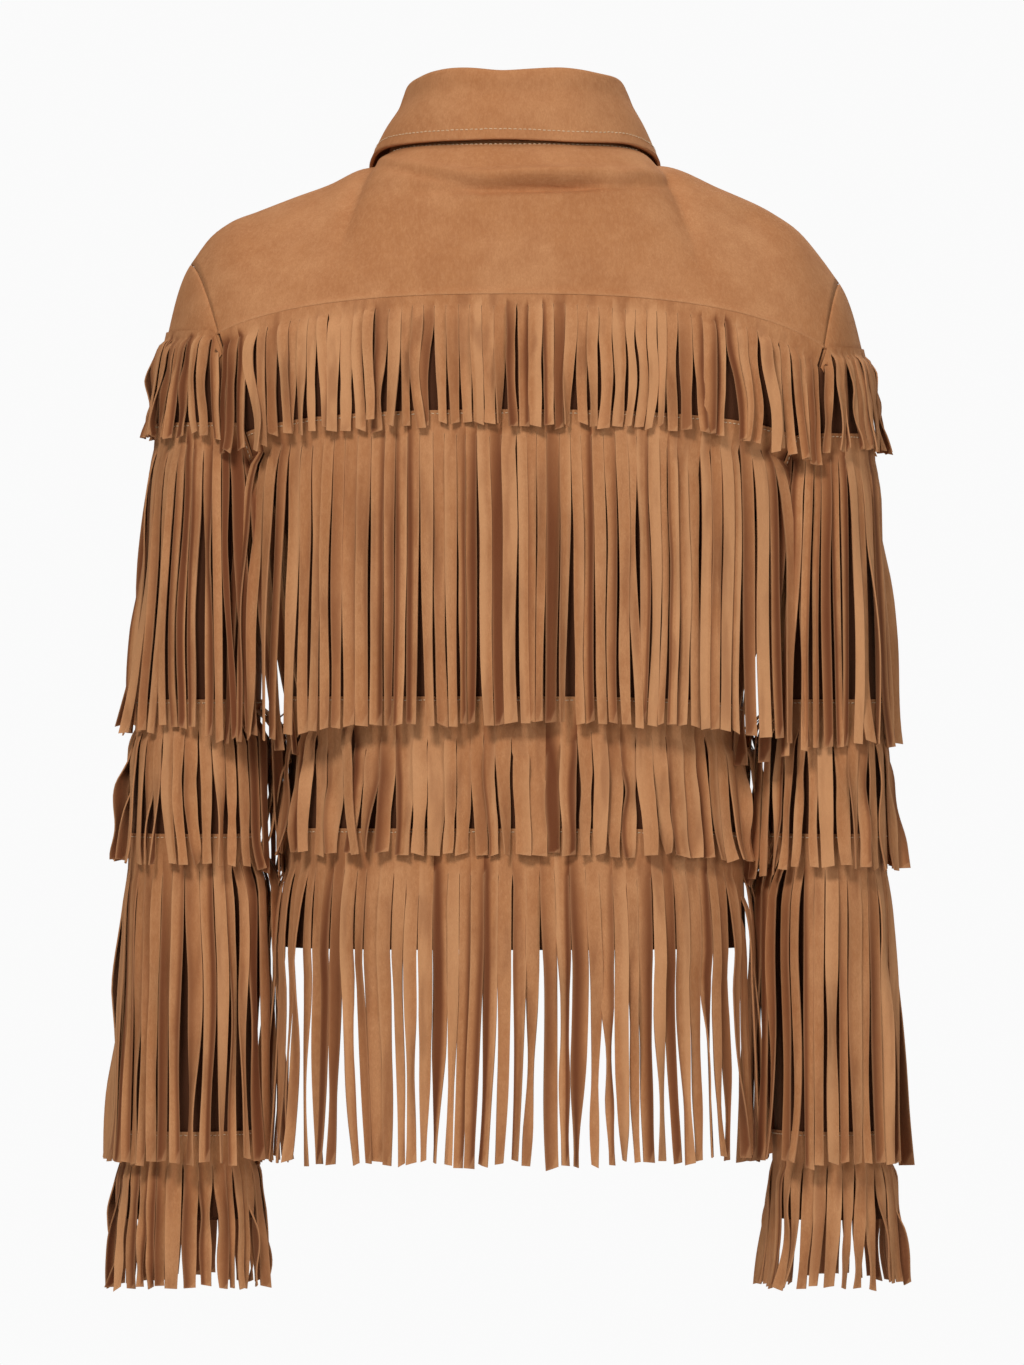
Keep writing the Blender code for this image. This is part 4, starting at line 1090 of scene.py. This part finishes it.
def strandPaths(spec, h, samples, root, out, halfWidth, tip):
    # A strip's middle line: down from its root, pushed out by the cloth, leaning and swaying sideways.
    # Its height above the cloth is a power of its length, then smoothed upward by its neighbours' mean.
    f = fringe
    t = np.linspace(0, 1, f["stripRows"] + 1)[1:, None]
    depths = t * (root[:, 2] - tip + h["length"])
    reach = [clothReach(samples, *strip) for strip in zip(root, out, halfWidth, depths.T)]
    reach = np.stack(reach, axis=1)
    turned = np.clip((t - h["twistFrom"]) / (1 - h["twistFrom"]), 0, 1) ** f["twistPower"] * h["twist"]
    wobble = h["wobble"] * np.sin(t * h["wobbleRate"] + h["wobbleTurn"])
    turned = turned + wobble * np.minimum(t * f["wobbleStart"], 1)
    tilt = np.abs(np.sin(turned)) * halfWidth
    lift = spec["lift"] * t ** f["liftPower"] + h["layer"] * np.minimum(t * f["layerStart"], 1)
    stand = np.maximum(lift + tilt, reach + f["lie"] + f["thickness"] / 2 + lift + tilt)
    curled = np.clip((t - f["curlFrom"]) / (1 - f["curlFrom"]), 0, 1) ** 2
    stand = stand + h["curl"] * f["curlReach"] * curled
    for _ in range(f["smoothings"]):
        ahead = np.concatenate([stand[1:], stand[-1:]])
        behind = np.concatenate([0 * stand[:1], stand[:-1]])
        stand = np.maximum(stand, (ahead + behind) / 2)
    early = np.minimum(t * f["earlyStart"], 1)
    sway = h["sway"] * np.sin(t * f["swayWaves"] + h["swayTurn"]) * early
    shift = h["lean"] * t ** spec["leanPower"] + sway
    return t, depths, stand, shift, turned, early


def combFaces(index, bandRows, strips, closed):
    # Quads of both layers, of the band between strips, and of every rim.
    low = bandRows - 1
    use = slice(None) if closed else slice(0, strips - 1)
    following = np.roll(index[:, :, 0], -1, axis=1)[:, use]
    rights = index[:, :, 2][:, use]
    quads = []
    for layer, flip in ((0, False), (1, True)):
        face = index[..., layer]
        for column in (0, 1):
            quads.append((face[:-1, :, column], face[:-1, :, column + 1], face[1:, :, column + 1],
                          face[1:, :, column], flip))
        a, b = rights[:bandRows, :, layer], following[:bandRows, :, layer]
        quads.append((a[:-1], b[:-1], b[1:], a[1:], flip))
    for row, flip in ((0, False), (-1, True)):
        for column in (0, 1):
            a, b = index[row, :, column], index[row, :, column + 1]
            quads.append((a[:, 1], b[:, 1], b[:, 0], a[:, 0], flip))
    for row, flip in ((0, False), (low, True)):
        a, b = rights[row], following[row]
        quads.append((a[:, 1], b[:, 1], b[:, 0], a[:, 0], flip))
    for column, flip in ((0, False), (2, True)):
        rim = index[low:, :, column]
        quads.append((rim[:-1, :, 0], rim[1:, :, 0], rim[1:, :, 1], rim[:-1, :, 1], flip))
    if not closed:
        for strip, column, flip in ((0, 0, False), (strips - 1, 2, True)):
            rim = index[:bandRows, strip, column]
            quads.append((rim[:-1, 0], rim[1:, 0], rim[1:, 1], rim[:-1, 1], flip))
    return np.concatenate([np.stack(quad[:4], axis=-1).reshape(-1, 4)[:, :: -1 if quad[4] else 1]
                           for quad in quads])


def combMarks(shape, h, early):
    # Cut edges, painted shade on the underside, and each strip's tone mixed with painted shade, which grows
    # down the band and differs side to side, one edge painted darker and the other lighter.
    bandRows, bandTone = fringe["bandRows"], fringe["bandTone"]
    edge, under = np.zeros(shape), np.zeros(shape)
    edge[bandRows - 1:, :, [0, 2]] = 1.0
    edge[-1] = 1.0
    under[..., 1] = 1.0
    grow = np.concatenate([np.linspace(0, bandTone, bandRows), bandTone + (1 - bandTone) * early])
    toneAndShade = h["toneAndShade"][:, None] + h["side"][:, None] * [-1, 0, 1]
    tonesAndShade = np.broadcast_to((grow[:, None, None] * toneAndShade)[..., None], shape)
    return {"edge": edge, "under": under, "toneAndShade": tonesAndShade}


def makeTier(name, surface, normalOf, samples, spec, lefts, rights):
    # Columns are each strip's left edge, middle and right edge, for the band's rows and then the strip's.
    f = fringe
    strips, bandRows = len(lefts), f["bandRows"]
    columns = np.stack([lefts, (lefts + rights) / 2, rights], axis=1)
    share = acrossShare(spec, columns)
    level, seam, tip = tierHeights(spec, surface, columns)
    if spec["atYoke"]:
        seam = surface(columns, np.full_like(columns, f["yokeSeamDown"]))[..., 2]
    h = tierHang(spec, share[:, 1], strips)
    cut = np.minimum(level - spec["band"] - h["cut"][:, None], seam - f["leastCut"])
    heights = seam + (cut - seam) * np.linspace(0, 1, bandRows)[:, None, None]
    down = findDown(surface, columns, heights)
    across = np.broadcast_to(columns, down.shape)
    lying = surface(across, down)
    outward = normalOf(across, down)
    middle = lying + outward * (f["lie"] + f["thickness"] / 2)
    root = middle[-1, :, 1]
    out = unit(outward[-1, :, 1] * [1, 1, 0])
    span = (middle[-1, :, 2] - middle[-1, :, 0]) * [1, 1, 0]
    halfWidth = np.linalg.norm(span, axis=-1) / 2
    sideways = levelSide(out)
    sideways = sideways * np.sign(np.sum(sideways * span, axis=-1, keepdims=True))
    t, depths, stand, shift, turned, early = strandPaths(spec, h, samples, root, out, halfWidth, tip[:, 1])
    path = root + out * stand[..., None] + sideways * shift[..., None]
    if "furthest" in spec:
        path[..., 0] += spec["flare"] * share[:, 1] ** f["flareRound"] * t ** f["flareDown"]
    path[..., 2] = root[:, 2] - depths
    opened = np.clip((t - h["opens"]) / f["openLength"], 0, 1)
    uneven = 1 + f["widthWaves"] * np.sin(t * h["wobbleRate"] * 2 + h["swayTurn"])
    overlap = f["overlap"] * np.minimum(t * f["overlapStart"], 1)
    width = halfWidth * (1 + overlap - opened * uneven * h["narrow"])
    turnedSide = sideways * np.cos(turned)[..., None] + out * np.sin(turned)[..., None]
    turnedOut = out * np.cos(turned)[..., None] - sideways * np.sin(turned)[..., None]
    bow = (h["cup"] * early)[..., None]
    sideStep = turnedSide * width[..., None]
    hanging = np.stack([path - sideStep, path + turnedOut * bow, path + sideStep], axis=2)
    hanging[..., 2] += (h["slant"] * t ** f["slantPower"])[..., None] * [-1, 0, 1]
    facing = np.broadcast_to(turnedOut[:, :, None], hanging.shape)
    allMiddle = np.concatenate([middle, hanging])
    half = np.concatenate([outward, facing]) * f["thickness"] / 2
    points = np.stack([allMiddle + half, allMiddle - half], axis=3)
    index = np.arange(points.size // 3).reshape(points.shape[:-1])
    flat = points.reshape(-1, 3)
    faces = outsideOut(flat, combFaces(index, bandRows, strips, isClosed(spec)))
    marks = combMarks(points.shape[:-1], h, early[:, 0])
    piece = meshFromArrays(name, flat, [faces], suedeStrips, marks)
    piece.data.set_sharp_from_angle(angle=math.radians(f["sharpAngle"]))
    return piece


def stripPlaces(start, end, count):
    # Uneven strips side by side, with a hairline between them where they are cut.
    pitch = np.clip(rng.normal(1.0, 0.12, count), 0.7, 1.35)
    marks = start + (end - start) * np.concatenate([[0], np.cumsum(pitch)]) / pitch.sum()
    gap = (end - start) / count * fringe["stripGap"]
    return marks[:-1] + gap / 2, marks[1:] - gap / 2


def evenAcross(surface, furthest, height):
    # Places across that are evenly spaced along the cloth at a height: lengths are summed, then inverted.
    places = sided(-furthest, furthest, 400)
    points = surface(places, findDown(surface, places, np.full((1, 400), height))[0])
    run = np.concatenate([[0], np.cumsum(np.linalg.norm(np.diff(points, axis=0), axis=1))])
    return lambda share: np.interp(share * run[-1], run, places)


def backNormal(places, downs):
    return slopesNormal(backPlain, places, downs, bodyInside)


def sleeveNormal(side):
    plain, inside = sleeveSurface(side)[0], sleeveInside(side)
    return lambda places, downs: slopesNormal(plain, places, downs, inside)


def makeBackFringe():
    rows, columns = fringe["backSamples"]
    across, down = gridPlaces(np.linspace(0.5, 3, rows), sided(-1, 1, columns))
    samples = backSurface(across, down).reshape(-1, 3)
    made = []
    for number, spec in enumerate(backTiers, start=1):
        placed = evenAcross(backSurface, spec["furthest"], spec["seam"][1] - 4)
        ends = [placed(share) for share in stripPlaces(0.0, 1.0, spec["strips"])]
        piece = makeTier(f"backFringe{number}", backSurface, backNormal, samples, spec, *ends)
        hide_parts(f"fringe_back_{number}")
        made.append(piece)
    return made


def makeSleeveFringe(side, word):
    surface, normalOf = sleeveSurface(side)[1], sleeveNormal(side)
    rows, columns = fringe["sleeveSamples"]
    around, down = gridPlaces(np.linspace(0.02, 2, rows), np.linspace(0, 1, columns, endpoint=False))
    samples = surface(around, down).reshape(-1, 3)
    made = []
    for number, spec in enumerate(sleeveTiers[side], start=1):
        ends = stripPlaces(spec["start"], spec["end"], spec["strips"])
        piece = makeTier(f"sleeveFringe{word}{number}", surface, normalOf, samples, spec, *ends)
        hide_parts(f"fringe_sleeve_{word.lower()}_{number}")
        made.append(piece)
    return made


fringePieces = {"back": makeBackFringe()}
for side, word in ((-1, "Left"), (1, "Right")):
    fringePieces[word] = makeSleeveFringe(side, word)
print("fringe made")


# The button band and its buttons

front = {
    "bandHalf": 0.047,
    "bandTop": 0.06,
    "bandFoot": 2.985,
    "bandWall": 1.6,
    "lie": 1.0,
    "gap": 0.3,
    "heights": [-84.0, -164.0, -244.0, -324.0, -404.0, -480.0],
    "ripple": 0.25,
    "buttonThickness": 3.0,
    "buttonSides": 56,
    "turnEach": 0.35,
    "holeRing": 2.3,
    "holeRadius": 0.85,
    "holeDepth": 1.3,
    # radius and height along the axis, from the middle of the back round to the middle of the dish
    "profile": [(0.02, -1.5), (5.6, -1.5), (6.9, -1.1), (7.4, 0.0), (7.2, 0.8), (6.7, 1.3), (6.1, 1.45),
                (5.5, 1.25), (5.1, 0.75), (4.6, 0.55), (3.4, 0.5), (2.9, 0.5), (2.3, 0.5), (1.7, 0.5),
                (1.2, 0.5), (0.02, 0.5)],
}


def bandGrid(rows, columns, lift):
    # The front's middle strip lifted off it, rippling a little at its long edges.
    across, down = gridPlaces(np.linspace(front["bandTop"], front["bandFoot"], rows),
                              sided(-front["bandHalf"], front["bandHalf"], columns))
    lying = frontPlain(across, down)
    face = slopesNormal(frontPlain, across, down, bodyInside)
    face[..., 0] = 0.0
    face = unit(face)
    ripple = front["ripple"] * np.sin(down * 34.0) * (np.abs(across) / front["bandHalf"]) ** 2
    return lying + face * (lift + ripple)[..., None], face, across


def makeBand():
    # The band's middle surface with a wall about it, its long edges rolled in a little.
    lift = front["lie"] + front["bandWall"] / 2
    middle, face, across = bandGrid(160, 15, lift)
    rim = (np.abs(across) / front["bandHalf"]) ** 8
    middle = middle - face * (0.25 * rim)[..., None]
    piece = wallPiece("buttonBand", middle, front["bandWall"], face, {"edge": rim * 0.9})
    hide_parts("front_placket")
    return piece


def makeButton(number, height):
    # A turned disc: rings of a profile about the button's axis, with four holes sunk in the dish.
    downs = np.linspace(front["bandTop"], front["bandFoot"], 400)
    middle = np.full_like(downs, 1e-6)
    line = frontPlain(middle, downs)
    lean = slopesNormal(frontPlain, middle, downs, bodyInside)
    y = np.interp(-height, -line[:, 2], line[:, 1])
    slope = np.interp(-height, -line[:, 2], lean[:, 2])
    axis = np.array([0.0, math.sqrt(1 - slope**2), slope])
    sideAxis = np.array([1.0, 0.0, 0.0])
    upAxis = np.cross(axis, sideAxis)
    off = front["lie"] + front["bandWall"] + front["gap"] + front["buttonThickness"] / 2
    centre = np.array([0.0, y, height]) + axis * off
    profile = np.array(front["profile"])
    turned = number * front["turnEach"]
    turns = np.linspace(0, 2 * math.pi, front["buttonSides"], endpoint=False) + turned
    u, v = profile[:, :1] * np.cos(turns), profile[:, :1] * np.sin(turns)
    raised = np.broadcast_to(profile[:, 1:], u.shape)
    holes = np.zeros_like(u)
    for corner in range(4):
        angle = math.pi / 4 + corner * math.pi / 2 + turned
        away = np.hypot(u - front["holeRing"] * math.cos(angle), v - front["holeRing"] * math.sin(angle))
        holes = np.maximum(holes, np.clip(1 - (away / front["holeRadius"]) ** 4, 0, 1) * (raised > 0.2))
    raised = raised - holes * front["holeDepth"]
    points = centre + u[..., None] * sideAxis + v[..., None] * upAxis + raised[..., None] * axis
    flat = points.reshape(-1, 3)
    faces = tubeFaces(flat, *u.shape, np.array([0]))
    piece = meshFromArrays(f"hornButton{number}", flat, faces, horn)
    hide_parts(f"button_{number}")
    return piece, centre, axis, sideAxis, upAxis


bandPiece = makeBand()
buttons = [makeButton(number, height) for number, height in enumerate(front["heights"], start=1)]
print("buttons made")


# Stitches: one small capsule per stitch, all of a row in one mesh

stitches = {
    "pitch": 3.1,
    "length": 2.2,
    "radius": 0.34,
    "sides": 6,
    # share along a stitch and of its radius
    "rings": [(-0.5, 0.35), (-0.36, 0.85), (0.0, 1.0), (0.36, 0.85), (0.5, 0.35)],
    "bow": 0.8,
    "sink": 0.05,
    "turn": 0.07,
    "stray": 0.10,
    "belowSeam": 2.2,
    "collarInset": 6.6,
    "neckReach": 0.36,
    "neckDown": 0.06,
    # threads of the buttons: height above the middle, share of the holes' ring, radius
    "threadHeight": 0.62,
    "threadLength": 1.55,
    "threadRadius": 0.42,
}


def capsules(name, centres, along, outward, length, radius):
    # Rings of a spindle profile along each stitch's own direction, bowed outward, with flat ends.
    s = stitches
    rings = np.array(s["rings"])
    turns = np.linspace(0, 2 * math.pi, s["sides"], endpoint=False)
    along = unit(along)
    third = unit(np.cross(along, outward))
    outward = np.cross(third, along)
    bow = (1.0 - (rings[:, 0] * 2) ** 2) * radius * s["bow"]
    ringAt = centres[:, None] + along[:, None] * (rings[:, :1] * length) + outward[:, None] * bow[:, None]
    around = third[:, None] * np.cos(turns)[:, None] + outward[:, None] * np.sin(turns)[:, None]
    points = ringAt[:, :, None] + around[:, None] * (rings[:, 1, None, None] * radius)
    flat = points.reshape(-1, 3)
    size = len(rings) * s["sides"]
    faces = tubeFaces(flat, len(rings), s["sides"], np.arange(len(centres)) * size)
    return meshFromArrays(name, flat, faces, thread)


def stitchLine(name, line, outward, closed, lift):
    # Stitches evenly spaced along a line of points, each lying on the cloth with a slight random turn.
    s = stitches
    if closed:
        line = np.concatenate([line, line[:1]])
        outward = np.concatenate([outward, outward[:1]])
    steps = np.linalg.norm(np.diff(line, axis=0), axis=1)
    run = np.concatenate([[0], np.cumsum(steps)])
    count = max(int(run[-1] / s["pitch"]), 2)
    at = (np.arange(count) + 0.5) * run[-1] / count

    def read(values, places):
        return np.stack([np.interp(places, run, values[:, axis]) for axis in range(3)], axis=-1)

    normal = unit(read(outward, at))
    along = unit(read(line, at + 0.4) - read(line, at - 0.4))
    side = np.cross(along, normal)
    along = unit(along + side * rng.normal(0, s["turn"], count)[:, None])
    stray = side * rng.normal(0, s["stray"], count)[:, None]
    centres = read(line, at) + stray + normal * (lift - s["sink"])
    return capsules(name, centres, along, normal, s["length"], s["radius"])


def tierStitches(name, surface, normalOf, spec, start, end, count):
    # A row near the top edge of a tier's band, on a line of the surface just below the tier's seam.
    closed = isClosed(spec)
    places = np.linspace(start, end, count, endpoint=not closed)
    places = np.where(np.abs(places) < 1e-9, 1e-6, places)
    heights = tierHeights(spec, surface, places)[1] - stitches["belowSeam"]
    downs = findDown(surface, places, heights[None])[0]
    top = fringe["lie"] + fringe["thickness"]
    return stitchLine(name, surface(places, downs), normalOf(places, downs), closed, top)


def allTierStitches():
    made = {"back": [], "Left": [], "Right": []}
    for number, spec in enumerate(backTiers[1:], start=2):
        end = spec["furthest"] * 0.995
        row = tierStitches(f"backStitches{number}", backSurface, backNormal, spec, -end, end, 500)
        made["back"].append(row)
    for side, word in ((-1, "Left"), (1, "Right")):
        surface, normalOf = sleeveSurface(side)[1], sleeveNormal(side)
        for number, spec in enumerate(sleeveTiers[side][1:], start=2):
            name = f"sleeveStitches{word}{number}"
            row = tierStitches(name, surface, normalOf, spec, spec["start"], spec["end"], 300)
            made[word].append(row)
    return made


def collarStitches():
    # One row close above the fall's edge, and one on the yoke below the collar.
    turns, at, fall, stand, out = collarGrid()
    lean = gridNormals(fall)
    lean = lean * np.sign(np.sum(lean * out[None], axis=-1)[-2].mean())
    steps = np.linalg.norm(np.diff(fall, axis=0), axis=-1)
    length = np.concatenate([[0 * turns], np.cumsum(steps, axis=0)])
    index = np.arange(len(turns))
    target = length[-1] - stitches["collarInset"]
    share = np.array([np.interp(target[i], length[:, i], at) for i in index])
    low = np.clip(np.searchsorted(at, share) - 1, 0, len(at) - 2)
    part = ((share - at[low]) / (at[low + 1] - at[low]))[:, None]
    line = fall[low, index] * (1 - part) + fall[low + 1, index] * part
    normal = unit(lean[low, index] * (1 - part) + lean[low + 1, index] * part)
    edgeRow = stitchLine("collarStitches", line[2:-2], normal[2:-2], False, collar["wall"] / 2)
    places = sided(-stitches["neckReach"], stitches["neckReach"], 200)
    downs = np.full_like(places, stitches["neckDown"])
    line, normal = backSurface(places, downs), backNormal(places, downs)
    return [edgeRow, stitchLine("neckStitches", line, normal, False, 0.0)]


def bandStitches():
    # One row close to each long edge of the band.
    middle, face, across = bandGrid(200, 15, front["lie"] + front["bandWall"])
    return [stitchLine(f"bandStitches{word}", middle[:, column], face[:, column], False, 0.0)
            for word, column in (("Left", 1), ("Right", 13))]


def buttonThreads():
    # Two short threads side by side over the holes of each button.
    rows = []
    ring = front["holeRing"]
    for number, (_, centre, axis, sideAxis, upAxis) in enumerate(buttons, start=1):
        angle = math.pi / 4 + number * front["turnEach"]
        first = sideAxis * math.cos(angle) + upAxis * math.sin(angle)
        second = upAxis * math.cos(angle) - sideAxis * math.sin(angle)
        offset = (first + second) * ring / 2
        centres = centre + axis * stitches["threadHeight"] + np.array([offset, -offset])
        along, outward = np.array([first - second] * 2), np.array([axis] * 2)
        sizes = ring * stitches["threadLength"], stitches["threadRadius"]
        rows.append(capsules(f"buttonThread{number}", centres, along, outward, *sizes))
    return rows


tierRows = allTierStitches()
collarRows = collarStitches()
bandRows = bandStitches()
threadPieces = buttonThreads()
print("stitches made")


# Which body carries each piece

def assign(pieces):
    for piece in pieces:
        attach(piece, "root")


assign([yokePiece, backPiece, *frontPieces.values(), *sleevePieces.values(), bandPiece])
assign([collarFallPiece, collarStandPiece])
assign([button[0] for button in buttons])
assign([piece for pieces in fringePieces.values() for piece in pieces])
for pieces in (*tierRows.values(), collarRows, bandRows):
    assign(pieces)
assign(threadPieces)

print("pieces assigned")


# Studio: a plain pale floor below and behind, soft lights and the camera at the photo's own angle

studio = {
    "floorZ": -1.16,
    "floorSize": 5.0,
    "camera": (-0.0019, -7.0, -0.3312),
    "lens": 286.5,
    # name, place, aimed at, size, watts, colour
    "lights": [
        ("keyLight", (-0.9, -3.2, 2.1), (0.0, 0.0, -0.3), 0.8, 90.0, (1.0, 0.98, 0.95)),
        ("fillLight", (1.7, -3.2, 0.5), (0.0, 0.0, -0.35), 1.2, 26.0, (0.97, 0.98, 1.0)),
        ("topLight", (0.0, 0.5, 2.2), (0.0, 0.0, -0.2), 1.6, 22.0, (1.0, 1.0, 1.0)),
        ("frontLight", (0.6, 2.8, 0.8), (0.0, 0.0, -0.35), 1.8, 26.0, (1.0, 0.99, 0.97)),
    ],
    "worldLight": 0.17,
    "worldSeen": 0.96,
    "floor": colour(236, 236, 235),
}


def makeFloor():
    half = studio["floorSize"] / 2
    corners = np.array([[-half, -half, 0], [half, -half, 0], [half, half, 0], [-half, half, 0]])
    points = (corners + [0, 0, studio["floorZ"]]) / mm
    f = Finish("paleFloor")
    place = f.make("ShaderNodeTexCoord", "Object")
    f.feed(f.shader.inputs["Base Color"], studio["floor"])
    f.feed(f.shader.inputs["Roughness"], 0.7 + f.noise(place, 3.0) * 0.1)
    floor = meshFromArrays("floor", points, [np.array([[0, 1, 2, 3]])], f.material)


def aim(thing, target):
    away = np.array(target) - np.array(thing.location)
    flat = math.hypot(away[0], away[1])
    thing.rotation_euler = (math.pi / 2 + math.atan2(away[2], flat), 0.0, math.atan2(-away[0], away[1]))


def makeLights():
    for name, place, target, size, watts, tint in studio["lights"]:
        lamp = bpy.data.lights.new(name, "AREA")
        lamp.size = size
        lamp.energy = watts
        lamp.color = tint
        light = bpy.data.objects.new(name, lamp)
        light.location = place
        aim(light, target)
        bpy.context.scene.collection.objects.link(light)


def makeWorld():
    world = bpy.data.worlds.new("paleWorld")
    world.use_nodes = True
    tree = world.node_tree
    background = tree.nodes["Background"]
    seen = tree.nodes.new("ShaderNodeBackground")
    path = tree.nodes.new("ShaderNodeLightPath")
    mix = tree.nodes.new("ShaderNodeMixShader")
    background.inputs["Strength"].default_value = studio["worldLight"]
    seen.inputs["Strength"].default_value = studio["worldSeen"]
    for node in (background, seen):
        node.inputs["Color"].default_value = (1.0, 1.0, 1.0, 1.0)
    tree.links.new(path.outputs["Is Camera Ray"], mix.inputs[0])
    tree.links.new(background.outputs[0], mix.inputs[1])
    tree.links.new(seen.outputs[0], mix.inputs[2])
    tree.links.new(mix.outputs[0], tree.nodes["World Output"].inputs[0])
    bpy.context.scene.world = world


def makeCamera():
    lens = bpy.data.cameras.new("photoCamera")
    lens.lens = studio["lens"]
    lens.sensor_fit = "VERTICAL"
    lens.sensor_height = 36.0
    camera = bpy.data.objects.new("photoCamera", lens)
    camera.location = studio["camera"]
    camera.rotation_euler = (math.pi / 2, 0.0, 0.0)
    bpy.context.scene.collection.objects.link(camera)
    bpy.context.scene.camera = camera


makeFloor()
makeLights()
makeWorld()
makeCamera()
bpy.context.scene.view_settings.view_transform = "Standard"
print("studio made")
